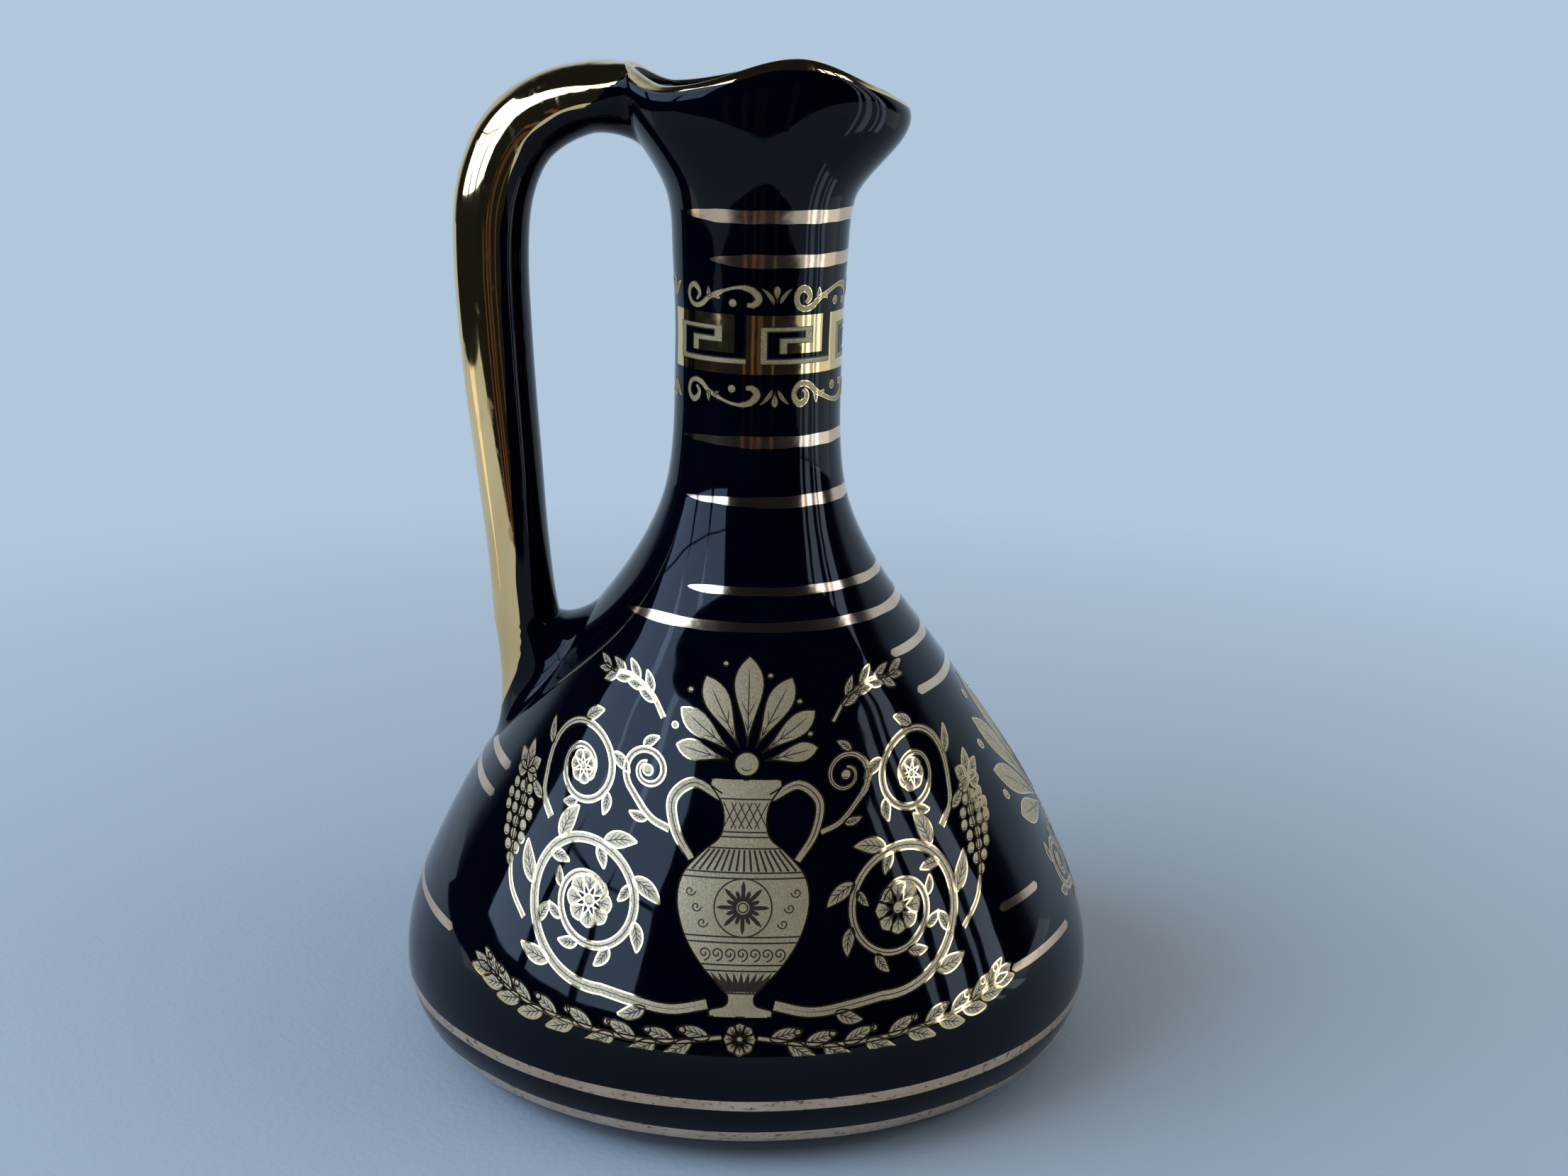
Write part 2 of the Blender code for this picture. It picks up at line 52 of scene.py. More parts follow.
# Foot and belly
FOOT_RADIUS = 41.0
FOOT_RING_WIDTH = 5.0
FOOT_RECESS = 1.6
FLOOR_THICKNESS = 3.6
BELLY_HEIGHT = 13.5
BELLY_RADIUS = 53.7
WALL = 3.0
# Radii of the extra rings of points on the flats under the foot and inside it
RECESS_RINGS = (8.0, 20.0)
FLOOR_RING = 18.0

# The turned outline from the belly up to the collar: height, radius
FLANK = np.array((
    (BELLY_HEIGHT, BELLY_RADIUS),
    (36.0, 46.2),
    (60.0, 30.3),
    (76.0, 18.5),
    (88.0, 13.45),
    (108.0, 12.45),
    (122.0, 12.95),
    (130.0, 13.7),
))
COLLAR_HEIGHT, COLLAR_RADIUS = FLANK[-1]
# The collar opens steeply towards the handle and the pouring end, and gently in front and behind
COLLAR_SLOPE = 0.25
COLLAR_EASE = 0.15

# Mouth: an oval rim, low at the pouring end, high on both sides, low again and then swept up to the handle
MOUTH_LENGTH = 43.6
MOUTH_WIDTH = 32.4
MOUTH_SHIFT = -0.3
# Turning points of the rim: angle from the pouring end, height
LIP_TURNS = ((0.0, 144.3), (70.0, 149.65), (140.0, 146.2), (170.0, 149.0), (180.0, 149.0))
LIP_TILT = 0.8
LIP_THICKNESS = 3.0
LIP_ROUND = 2.2

# Handle: X, Z and thickness along its centre line, from the lip down to the shoulder
HANDLE_POINTS = np.array((
    (-14.5, 142.0, 8.8),
    (-22.0, 144.1, 9.9),
    (-29.5, 142.6, 10.8),
    (-35.6, 138.2, 11.4),
    (-38.9, 130.8, 11.4),
    (-39.7, 121.0, 11.1),
    (-38.9, 106.0, 10.7),
    (-37.4, 90.0, 10.0),
    (-36.1, 77.0, 9.4),
    (-34.9, 66.0, 10.0),
    (-32.9, 57.0, 11.8),
))
HANDLE_WIDTH = 12.0
UPPER_WIDENING = 1.8
UPPER_WIDENING_END = 0.22
# The roots: where they leave the tube, how far they spread over the body and how flat they settle on it
UPPER_ROOT_START = 0.055
UPPER_ROOT_SPREAD = 23.0
UPPER_ROOT_MIDDLE = 1.0
UPPER_ROOT_REACH = 0.60
UPPER_SIDE_SETTLE = 0.2
LOWER_ROOT_HEIGHT = 56.9
LOWER_ROOT_REACH = 11.9
LOWER_ROOT_SPREAD = 8.6
LOWER_SIDE_SETTLE = 0.8
ROOT_SETTLE = 0.8
ROOT_PULL = 0.9
ROOT_SINK = 0.05

# Gold layers lie over the glaze in steps
FILM_UNDER = 0.004
FILM_TOP = 0.030
ETCH_TOP = 0.040
EDGE_TOP = 0.050


def smoothstep(t):
    t = np.clip(t, 0.0, 1.0)
    return t * t * (3.0 - 2.0 * t)


def ease(values, start, end):
    """A soft step from 0 at the start to 1 at the end."""
    return smoothstep((values - start) / (end - start))


def hermite(t, start, start_pull, end, end_pull):
    rise = t * t * (3.0 - 2.0 * t)
    return start + (end - start) * rise + start_pull * t * (1.0 - t) ** 2 + end_pull * t * t * (t - 1.0)


def normalized(vectors):
    return vectors / np.maximum(np.linalg.norm(vectors, axis=-1, keepdims=True), 1e-12)


def through(points, place):
    """A smooth path through points; place counts along them, and the first and last point only steer it."""
    index = np.clip(np.floor(place).astype(int), 1, len(points) - 3)
    before, start, end, after = (points[index + k] for k in (-1, 0, 1, 2))
    return hermite((place - index)[..., None], start, (end - before) / 2.0, end, (after - start) / 2.0)


def steps_from(start, end, count):
    """Evenly spread values from a start to an end, without the start itself."""
    return np.linspace(start, end, count)[1:]


def around(angle, radius, height):
    """Places round the jug's axis."""
    turn, radius, height = np.broadcast_arrays(np.radians(angle), radius, height)
    return np.stack((radius * np.sin(turn), -radius * np.cos(turn), height), axis=-1)


# Body

FLANK_SLOPES = np.concatenate((
    [0.0],
    (FLANK[2:, 1] - FLANK[:-2, 1]) / (FLANK[2:, 0] - FLANK[:-2, 0]),
    [COLLAR_SLOPE],
))


def collar_slope(angle):
    return COLLAR_SLOPE - COLLAR_EASE * np.cos(np.radians(angle)) ** 2


def outer_radius(height, angle=POURING_ANGLE):
    """Radius of the outside between the foot and the collar; the angle only matters at the collar."""
    height = np.asarray(height, float)
    index = np.clip(np.searchsorted(FLANK[:, 0], height) - 1, 0, len(FLANK) - 2)
    low, high = FLANK[index], FLANK[index + 1]
    span = high[..., 0] - low[..., 0]
    t = np.clip((height - low[..., 0]) / span, 0.0, 1.0)
    end_slope = np.where(index == len(FLANK) - 2, collar_slope(angle), FLANK_SLOPES[index + 1])
    flank = hermite(t, low[..., 1], FLANK_SLOPES[index] * span, high[..., 1], end_slope * span)
    below = np.clip((BELLY_HEIGHT - height) / BELLY_HEIGHT, 0.0, 1.0)
    corner = FOOT_RADIUS + (BELLY_RADIUS - FOOT_RADIUS) * np.sqrt(1.0 - below ** 2)
    return np.where(height < BELLY_HEIGHT, corner, flank)


def outer_lean(height, angle=POURING_ANGLE):
    step = 0.02
    above, below = np.asarray(height) + step, np.asarray(height) - step
    return (outer_radius(above, angle) - outer_radius(below, angle)) / (2.0 * step)


def on_outside(angle, height, lift=0.0):
    """A point over the belly or neck, lifted along the surface's normal."""
    lean = outer_lean(height, angle)
    length = np.hypot(1.0, lean)
    return around(angle, outer_radius(height, angle) + lift / length, height - lift * lean / length)


def mouth_radius(angle):
    x, y = np.sin(np.radians(angle)), np.cos(np.radians(angle))
    a, b = MOUTH_LENGTH / 2.0, MOUTH_WIDTH / 2.0
    p = (x / a) ** 2 + (y / b) ** 2
    q = -x * MOUTH_SHIFT / a ** 2
    r = (MOUTH_SHIFT / a) ** 2 - 1.0
    return (-q + np.sqrt(q * q - p * r)) / p


def lip_height(angle):
    """Height of the rim, pressed by hand, with the crest a little higher in front than at the back."""
    away = np.abs((np.asarray(angle, float) - POURING_ANGLE + 180.0) % 360.0 - 180.0)
    height = np.full(away.shape, LIP_TURNS[0][1])
    for (first, start), (last, end) in zip(LIP_TURNS, LIP_TURNS[1:]):
        height = height + (end - start) * ease(away, first, last)
    crest, dip = LIP_TURNS[1][0], LIP_TURNS[2][0]
    hump = ease(away, 0.0, crest) * (1.0 - ease(away, crest, dip))
    return height + LIP_TILT * hump * np.cos(np.radians(angle))


def flare(angle, t, inset_low=0.0, inset_high=0.0):
    """Radius and height on the flare from the collar (t 0) to the widest part of the lip (t 1)."""
    rise = lip_height(angle) - LIP_ROUND - COLLAR_HEIGHT
    slope = collar_slope(angle) * rise
    radius = hermite(t, COLLAR_RADIUS - inset_low, slope, mouth_radius(angle) - inset_high, 0.0)
    return radius, COLLAR_HEIGHT + rise * t


def on_lip(angle, turn, lift=0.0):
    """A point over the rolled lip: turn 0 is its outer side, 90 its top and 180 its inner side."""
    angle, turn = np.broadcast_arrays(np.asarray(angle, float), np.asarray(turn, float))
    out, up = np.cos(np.radians(turn)), np.sin(np.radians(turn))
    half = LIP_THICKNESS / 2.0
    length = np.hypot(out * LIP_ROUND, up * half)
    radius = mouth_radius(angle) - half + half * out + lift * out * LIP_ROUND / length
    return around(angle, radius, lip_height(angle) - LIP_ROUND + LIP_ROUND * up + lift * up * half / length)


def on_mouth(angle, q):
    """A point on the mouth's outside: q 0 to 1 runs up the flare and 1 to 2 over the lip."""
    q = np.asarray(q, float)
    below = around(angle, *flare(angle, np.clip(q, 0.0, 1.0)))
    return np.where((q <= 1.0)[..., None], below, on_lip(angle, 180.0 * np.clip(q - 1.0, 0.0, 1.0)))


def body_rows():
    """Rings of points from under the foot, up the outside, over the lip and down the inside to the floor."""
    angle = np.arange(RING_POINTS) * 360.0 / RING_POINTS
    ring_inside = FOOT_RADIUS - FOOT_RING_WIDTH
    floor = FOOT_RECESS + FLOOR_THICKNESS
    recess = np.array((*RECESS_RINGS, ring_inside - 2.0 * FOOT_RECESS))[:, None]
    share = np.linspace(0.1, 1.0, 8)[:, None]
    recess_side = ring_inside - 2.0 * FOOT_RECESS * (1.0 - share)
    corner = BELLY_HEIGHT * (1.0 - np.cos(np.radians(np.linspace(0.0, 90.0, 26))))[:, None]
    flank = steps_from(BELLY_HEIGHT, COLLAR_HEIGHT, 121)[:, None]
    inside = steps_from(COLLAR_HEIGHT, BELLY_HEIGHT, 61)[:, None]
    wall = WALL * np.hypot(1.0, outer_lean(inside, angle))
    collar_wall = WALL * np.hypot(1.0, collar_slope(angle))
    inner_flare = flare(angle, steps_from(1.0, 0.0, 21)[:, None], collar_wall, LIP_THICKNESS)
    turn = np.radians(steps_from(90.0, 0.0, 13))[:, None]
    inner_corner = FOOT_RADIUS - WALL + (BELLY_RADIUS - FOOT_RADIUS) * np.sin(turn)
    return np.concatenate((
        around(angle, recess, FOOT_RECESS),
        around(angle, recess_side, FOOT_RECESS * (1.0 - smoothstep(share))),
        around(angle, [[(ring_inside + FOOT_RADIUS) / 2.0]], 0.0),
        around(angle, outer_radius(corner), corner),
        around(angle, outer_radius(flank, angle), flank),
        around(angle, *flare(angle, steps_from(0.0, 1.0, 29)[:, None])),
        on_lip(angle, steps_from(0.0, 180.0, 21)[:, None]),
        around(angle, *inner_flare),
        around(angle, outer_radius(inside, angle) - wall, inside),
        around(angle, inner_corner, BELLY_HEIGHT - (BELLY_HEIGHT - floor) * np.cos(turn)),
        around(angle, [[FLOOR_RING]], floor),
    ))


def add_mesh(name, points, faces, material, nodes=()):
    """A piece of the object, from points in millimetres, which stands for the given nodes."""
    mesh = bpy.data.meshes.new(name)
    mesh.from_pydata((np.asarray(points) * MM).tolist(), [], faces)
    mesh.shade_smooth()
    mesh.materials.append(material)
    piece = bpy.data.objects.new(name, mesh)
    bpy.context.collection.objects.link(piece)
    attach(piece, "root")
    if nodes:
        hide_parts(*nodes)
    return piece


def tube_faces(rings, n):
    """Faces between rings of n points each."""
    faces = []
    for start in range(0, (rings - 1) * n, n):
        for k in range(n):
            ahead = (k + 1) % n
            faces.append((start + k, start + ahead, start + n + ahead, start + n + k))
    return faces


def make_body(material):
    rows = body_rows()
    middles = [(0.0, 0.0, row[0, 2]) for row in (rows[0], rows[-1])]
    points = np.concatenate((rows.reshape(-1, 3), middles))
    faces = tube_faces(len(rows), RING_POINTS)
    last = (len(rows) - 1) * RING_POINTS
    for k in range(RING_POINTS):
        ahead = (k + 1) % RING_POINTS
        faces.append((ahead, k, len(points) - 2))
        faces.append((last + k, last + ahead, len(points) - 1))
    add_mesh("glazed_body", points, faces, material, ["jug_body"])


# Handle

def handle_axis(v):
    """Centre with thickness, and direction, at share v of the handle's free length."""
    place = 1.0 + np.asarray(v, float) * (len(HANDLE_POINTS) - 3)
    here, ahead = through(HANDLE_POINTS, place), through(HANDLE_POINTS, place + 1e-3)
    return here, normalized((ahead - here)[..., :2])


def on_tube(v, turn):
    """A point on the handle's free length; turn 0 is its outer edge."""
    here, along = handle_axis(v)
    turn = np.radians(turn)
    out = here[..., 2] / 2.0 * np.cos(turn)
    x = here[..., 0] + along[..., 1] * out
    z = here[..., 1] - along[..., 0] * out
    near_lip = np.clip(1.0 - v / UPPER_WIDENING_END, 0.0, None)
    y = np.broadcast_to((HANDLE_WIDTH / 2.0 + UPPER_WIDENING * near_lip ** 2) * np.sin(turn), x.shape)
    return np.stack((x, y, z), axis=-1)


def upper_landing(turn, scale):
    turn = np.radians(turn)
    angle = HANDLE_ANGLE - UPPER_ROOT_SPREAD * scale * np.sin(turn)
    return on_mouth(angle, UPPER_ROOT_MIDDLE + UPPER_ROOT_REACH * scale * np.cos(turn))


def lower_landing(turn, scale):
    turn = np.radians(turn)
    height = LOWER_ROOT_HEIGHT - LOWER_ROOT_REACH * scale * np.cos(turn)
    side = LOWER_ROOT_SPREAD * scale * np.sin(turn)
    angle = HANDLE_ANGLE - np.degrees(np.arcsin(side / outer_radius(height)))
    return on_outside(angle, height, -ROOT_SINK)


def on_root(v, turn, t, landing, sign, side_settle):
    """A point on the flared root that leaves the tube at v and settles on the body (t from 0 to 1)."""
    start, end = on_tube(v, turn), landing(turn, 1.0)
    reach = np.linalg.norm(end - start, axis=-1, keepdims=True)
    _, along = handle_axis(v)
    step = 1e-3
    ahead = on_tube(v + step, turn) - on_tube(v - step, turn)
    sideways = ahead[..., 1] / np.linalg.norm(ahead, axis=-1)
    pull = np.stack((along[..., 0], sideways, along[..., 1]), axis=-1) * sign
    spread = normalized(landing(turn, 1.04) - landing(turn, 0.96))
    settle = (side_settle + (ROOT_SETTLE - side_settle) * np.abs(np.cos(np.radians(turn))))[..., None]
    return hermite(np.asarray(t)[..., None], start, pull * reach * ROOT_PULL, end, spread * reach * settle)


def on_handle(place, turn):
    """A point on the handle: place 0 to 1 is the upper root, 1 to 2 the tube and 2 to 3 the lower root."""
    place, turn = np.broadcast_arrays(np.asarray(place, float), np.asarray(turn, float))
    first = np.full(place.shape, UPPER_ROOT_START)
    above, below = np.clip(1.0 - place, 0.0, 1.0), np.clip(place - 2.0, 0.0, 1.0)
    upper = on_root(first, turn, above, upper_landing, -1.0, UPPER_SIDE_SETTLE)
    lower = on_root(np.ones_like(place), turn, below, lower_landing, 1.0, LOWER_SIDE_SETTLE)
    tube = on_tube(first + (1.0 - first) * np.clip(place - 1.0, 0.0, 1.0), turn)
    place = place[..., None]
    return np.where(place < 1.0, upper, np.where(place > 2.0, lower, tube))


def over_handle(place, turn, lift):
    step = 0.01
    along = on_handle(place + step, turn) - on_handle(place - step, turn)
    across = on_handle(place, turn + 1.0) - on_handle(place, turn - 1.0)
    return on_handle(place, turn) + normalized(np.cross(across, along)) * lift


def make_handle(material):
    turns = np.arange(HANDLE_SIDES) * 360.0 / HANDLE_SIDES
    tube, toe = steps_from(1.0, 2.0, 161), steps_from(2.0, 3.0, 25)
    places = np.concatenate((np.linspace(0.0, 1.0, 25), tube, toe))
    grid = on_handle(places[:, None], turns[None, :])
    faces = [(a, d, c, b) for a, b, c, d in tube_faces(len(places), HANDLE_SIDES)]
    add_mesh("glazed_handle", grid.reshape(-1, 3), faces, material, ["handle"])


# Flat artwork and the thin films that carry it

# A stroke grows from its end to its full width over one part in this many of its length
STROKE_TAPER = 5.0


def unit(angle):
    """Directions in a flat drawing; 0 points to the right and 90 up."""
    turn = np.radians(angle)
    return np.stack((np.cos(turn), np.sin(turn)), axis=-1)


def heading(direction):
    return math.degrees(math.atan2(direction[1], direction[0]))


def sides_of(path):
    """Directions along a path and to its left."""
    along = normalized(np.gradient(path, axis=0))
    return along, np.stack((-along[:, 1], along[:, 0]), axis=1)


class Sheet:
    """Flat artwork: points in a plane and the faces between them."""

    def __init__(self):
        self.points = []
        self.faces = []

    def grid(self, rows):
        rows = np.asarray(rows, float)
        count, width = rows.shape[:2]
        start = len(self.points)
        self.points.extend(rows.reshape(-1, 2).tolist())
        for row in range(count - 1):
            for k in range(start + row * width, start + (row + 1) * width - 1):
                self.faces.append((k, k + 1, k + width + 1, k + width))

    def quad(self, corners, long_steps, cross_steps):
        a, b, c, d = corners
        u = np.linspace(0.0, 1.0, long_steps + 1)[None, :, None]
        v = np.linspace(0.0, 1.0, cross_steps + 1)[:, None, None]
        low, high = a + (d - a) * v, b + (c - b) * v
        self.grid(low + (high - low) * u)

    def ribbon(self, path, width, start=1.0, end=1.0):
        """A stroke along a path; start and end are its widths there as shares of the full width."""
        path = np.asarray(path, float)
        _, side = sides_of(path)
        share = np.linspace(0.0, 1.0, len(path))
        full = np.minimum(start + share * STROKE_TAPER, end + (1.0 - share) * STROKE_TAPER)
        half = (width / 2.0 * np.minimum(1.0, full))[:, None]
        self.grid(np.stack((path - side * half, path + side * half), axis=1))

    def disc(self, centre, radius, steps=4):
        u, v = np.meshgrid(np.linspace(-1.0, 1.0, steps + 1), np.linspace(-1.0, 1.0, steps + 1))
        x = u * np.sqrt(1.0 - v * v / 2.0)
        y = v * np.sqrt(1.0 - u * u / 2.0)
        self.grid(np.stack((x, y), axis=-1) * radius + np.asarray(centre))

    def close(self, across):
        """Join the last row to the first, which it repeats; across is the number of points in a row."""
        count = len(self.points) - across
        self.faces = [tuple(k % count for k in face) for face in self.faces]
        self.points = self.points[:count]

    def mirror(self):
        """Add the artwork's mirror image on the other side of its upright middle line."""
        count = len(self.points)
        self.points.extend([(-x, y) for x, y in self.points])
        self.faces.extend([tuple(k + count for k in face) for face in self.faces])


def make_film(name, sheet, place, top, material, nodes=()):
    """Lay a sheet over the glaze as a thin closed solid whose shading follows the surface below it.

    The place function turns the sheet's two coordinates and a lift into points on the jug.
    """
    flat = np.array(sheet.points).T
    under, over = place(*flat, FILM_UNDER), place(*flat, top)
    normal = normalized(place(*flat, 1.0) - place(*flat, 0.0))
    faces = []
    for face in sheet.faces:
        a, b, c, d = over[list(face)]
        outwards = np.dot(np.cross(c - a, d - b), normal[face[0]]) >= 0.0
        faces.append(face if outwards else face[::-1])
    walls = {}
    for face in faces:
        for start, end in zip(face, face[1:] + face[:1]):
            if walls.pop((end, start), None) is None:
                walls[(start, end)] = True
    count = len(over)
    lower = [tuple(k + count for k in face[::-1]) for face in faces]
    sides = [(end, start, start + count, end + count) for start, end in walls]
    points = np.concatenate((over, under))
    piece = add_mesh(name, points, faces + lower + sides, material, nodes)
    loops = [normal[k] for face in faces for k in face]
    loops += [-normal[k - count] for face in lower for k in face]
    for a, b, c, _ in sides:
        loops += [normalized(np.cross(points[b] - points[a], points[c] - points[b]))] * 4
    piece.data.normals_split_custom_set(np.array(loops).tolist())


def band_sheet(places, lower, upper, across):
    """A band that runs through the places, with a row of points from its lower to its upper edge at each."""
    sheet = Sheet()
    levels = lower[:, None] + (upper - lower)[:, None] * np.linspace(0.0, 1.0, across)
    sheet.grid(np.stack((np.broadcast_to(places[:, None], levels.shape), levels), axis=-1))
    return sheet


# Painted lines

NECK_LINE_WIDTH = 1.9
ROOT_LINE_WIDTH = 1.75
BELLY_LINE_WIDTH = 1.15
BASE_LINE_WIDTH = 1.6
LINE_WAVER = 0.04
LINE_TIP = 0.03
LINE_POINTS = 5
# name, height, width, first angle, last angle, length of the brush's pointed start and end in degrees
LINES = (
    ("neck_line_top", 128.6, NECK_LINE_WIDTH, -52.0, 230.0, 24.0, 12.0),
    ("neck_line_under_lip", 122.3, NECK_LINE_WIDTH, -33.0, 230.0, 26.0, 12.0),
    ("neck_line_above_root", 96.1, ROOT_LINE_WIDTH, -57.0, 230.0, 55.0, 12.0),
    ("neck_line_root", 87.4, ROOT_LINE_WIDTH, -48.0, 230.0, 70.0, 12.0),
    ("shoulder_line_upper", 75.4, BELLY_LINE_WIDTH, -30.0, 230.0, 12.0, 8.0),
    ("shoulder_line_lower", 70.9, 1.1 * BELLY_LINE_WIDTH, -57.0, 230.0, 14.0, 8.0),
    ("pouring_side_line_upper", 65.6, BELLY_LINE_WIDTH, 52.0, 128.0, 1.6, 1.6),
    ("pouring_side_line_lower", 60.3, BELLY_LINE_WIDTH, 55.0, 125.0, 1.6, 1.6),
    ("belly_line_front_upper", 32.0, BELLY_LINE_WIDTH, 50.0, 64.0, 0.8, 0.8),
    ("belly_line_front_lower", 24.0, BELLY_LINE_WIDTH, 48.6, 71.0, 0.8, 0.8),
    ("belly_line_rear_upper", 32.0, BELLY_LINE_WIDTH, 116.0, 130.0, 0.8, 0.8),
    ("belly_line_rear_lower", 24.0, BELLY_LINE_WIDTH, 109.0, 131.4, 0.8, 0.8),
    ("handle_side_line_upper", 47.0, BELLY_LINE_WIDTH, -116.0, -64.0, 1.0, 1.0),
    ("handle_side_line_middle", 43.1, BELLY_LINE_WIDTH, -116.0, -64.0, 1.0, 1.0),
    ("handle_side_line_lower", 25.5, BELLY_LINE_WIDTH, -123.0, -57.0, 0.8, 0.8),
)
RINGS = (("base_line_upper", 11.8, BASE_LINE_WIDTH), ("base_line_lower", 6.0, 1.3 * BASE_LINE_WIDTH))


def line_edges(angles, height, width, seed):
    """Edges of a painted line, which waver a little as a banding brush leaves them."""
    turn = np.radians(angles)
    lower_waver = np.sin(7.0 * turn - seed) + np.sin(17.0 * turn + 3.0 * seed)
    upper_waver = np.sin(5.0 * turn + seed) + np.sin(13.0 * turn + 2.0 * seed)
    lower = height - width / 2.0 + LINE_WAVER * lower_waver
    upper = height + width / 2.0 + LINE_WAVER * upper_waver
    return lower, upper


def make_lines(material, worn_material):
    for seed, (name, height, width, first, last, start, end) in enumerate(LINES):
        angles = np.linspace(first, last, max(24, int((last - first) * 1.2)))
        tip = np.clip((angles - first) / start, 0.0, 1.0) * np.clip((last - angles) / end, 0.0, 1.0)
        tip = np.maximum(np.sqrt(tip), LINE_TIP)
        lower, upper = line_edges(angles, height, width, seed)
        middle, half = (lower + upper) / 2.0, (upper - lower) / 2.0 * tip
        sheet = band_sheet(angles, middle - half, middle + half, LINE_POINTS)
        make_film("gold_" + name, sheet, on_outside, FILM_TOP, material, [name])
    angles = np.linspace(0.0, 360.0, 289)
    for name, height, width in RINGS:
        sheet = band_sheet(angles, *line_edges(angles, height, width, height), LINE_POINTS)
        sheet.close(LINE_POINTS)
        make_film("gold_" + name, sheet, on_outside, FILM_TOP, worn_material, [name])


# Gilding of the lip and the handle

LIP_GOLD_OUTER = 40.0
LIP_GOLD_CREST = 24.0
LIP_GOLD_INNER = 128.0
LIP_GOLD_POINTS = 9
# Near the handle the gold reaches further down both sides of the lip
LIP_GOLD_WIDENING = 36.0
LIP_GOLD_OUTER_DROP = 30.0
LIP_GOLD_INNER_DROP = 20.0
# Place along the handle, and how far the gold reaches round each side of it there
HANDLE_GOLD = np.array((
    (0.0, 66.0),
    (0.5, 80.0),
    (0.72, 93.0),
    (1.04, 102.0),
    (1.36, 113.0),
    (1.55, 110.5),
    (1.66, 107.0),
    (1.89, 89.0),
    (2.09, 84.0),
    (2.30, 79.0),
    (2.46, 60.0),
    (2.60, 40.0),
    (2.65, 10.0),
))
HANDLE_GOLD_WAVER = 3.0
HANDLE_GOLD_SOFTENING = 4


def make_lip_gold(material):
    angles = np.linspace(0.0, 360.0, 241)
    away = np.abs((angles - HANDLE_ANGLE + 180.0) % 360.0 - 180.0)
    near = 1.0 - smoothstep(away / LIP_GOLD_WIDENING)
    turn = np.radians(angles)
    crest = (lip_height(angles) - LIP_TURNS[0][1]) / (LIP_TURNS[1][1] - LIP_TURNS[0][1]) * (1.0 - near)
    outer = LIP_GOLD_OUTER + (LIP_GOLD_CREST - LIP_GOLD_OUTER) * crest ** 2 - LIP_GOLD_OUTER_DROP * near
    outer = outer + 3.0 * np.sin(7.0 * turn) + 2.0 * np.sin(11.0 * turn + 1.0)
    inner = LIP_GOLD_INNER + LIP_GOLD_INNER_DROP * near + 3.0 * np.sin(5.0 * turn + 2.0)
    sheet = band_sheet(angles, outer, inner, LIP_GOLD_POINTS)
    sheet.close(LIP_GOLD_POINTS)
    make_film("gold_lip", sheet, on_lip, FILM_TOP, material, ["lip_gilding"])


def make_handle_gold(material):
    tube, toe = steps_from(1.0, 2.0, 140), steps_from(2.0, HANDLE_GOLD[-1, 0], 36)
    places = np.concatenate((steps_from(0.0, 1.0, 30), tube, toe))
    window = 2 * HANDLE_GOLD_SOFTENING + 1
    reach = np.pad(np.interp(places, *HANDLE_GOLD.T), HANDLE_GOLD_SOFTENING, mode="edge")
    reach = np.convolve(reach, np.ones(window) / window, mode="valid")
    pace = 7.0 * places
    wobble = (np.sin(1.7 * pace + 1.0) + np.sin(3.1 * pace + 2.3) + np.sin(7.3 * pace + 4.1)) / 3.0
    share = np.linspace(-1.0, 1.0, 33)
    turns = reach[:, None] * share + (HANDLE_GOLD_WAVER * wobble)[:, None] * np.abs(share) ** 3
    sheet = Sheet()
    sheet.grid(np.stack((np.broadcast_to(places[:, None], turns.shape), turns), axis=-1))
    make_film("gold_handle", sheet, over_handle, FILM_TOP, material, ["handle_gilding"])


# Greek key band

# Length of one degree round the neck
NECK_DEGREE = 0.2217
KEY_START = -70.8
KEY_PITCH = 63.3
KEY_UNITS = 5
KEY_STEP = 3.0
# Edges of the bright and matte strips of one key, in degrees from its start and in heights
LEFT_BRIGHT, LEFT_MATTE = 9.3, 14.2
INNER_END, INNER_BEVEL = 22.4, 27.9
RIGHT_MATTE, RIGHT_BRIGHT, RIGHT_EDGE = 40.9, 46.9, 55.5
KEY_TOP, TOP_MATTE, TOP_EDGE = 114.56, 112.93, 112.25
INNER_TOP, INNER_BRIGHT, INNER_LOW = 111.31, 110.5, 109.05
BASE_TOP, BASE_BRIGHT, KEY_LOW = 108.27, 107.48, 106.02
ETCH_WIDTH = 0.19
# Bright strips by their lower left and upper right corners
KEY_BRIGHT = (
    ((0.0, KEY_LOW), (LEFT_BRIGHT, KEY_TOP)),
    ((LEFT_BRIGHT, TOP_MATTE), (RIGHT_EDGE, KEY_TOP)),
    ((RIGHT_BRIGHT, INNER_LOW), (RIGHT_EDGE, TOP_MATTE)),
    ((INNER_BEVEL, INNER_LOW), (RIGHT_BRIGHT, INNER_BRIGHT)),
    ((LEFT_BRIGHT, KEY_LOW), (KEY_PITCH, BASE_BRIGHT)),
)
# Matte bevels lie between these two edges; one more runs along the base
BEVEL_OUTER = (
    (LEFT_BRIGHT, BASE_BRIGHT), (LEFT_BRIGHT, TOP_MATTE), (RIGHT_BRIGHT, TOP_MATTE),
    (RIGHT_BRIGHT, INNER_BRIGHT), (INNER_BEVEL, INNER_BRIGHT), (INNER_BEVEL, INNER_LOW),
)
BEVEL_INNER = (
    (LEFT_MATTE, BASE_TOP), (LEFT_MATTE, TOP_EDGE), (RIGHT_MATTE, TOP_EDGE),
    (RIGHT_MATTE, INNER_TOP), (INNER_END, INNER_TOP), (INNER_END, INNER_LOW),
)
BASE_BEVEL = (BEVEL_OUTER[0], BEVEL_INNER[0], (KEY_PITCH, BASE_TOP), (KEY_PITCH, BASE_BRIGHT))


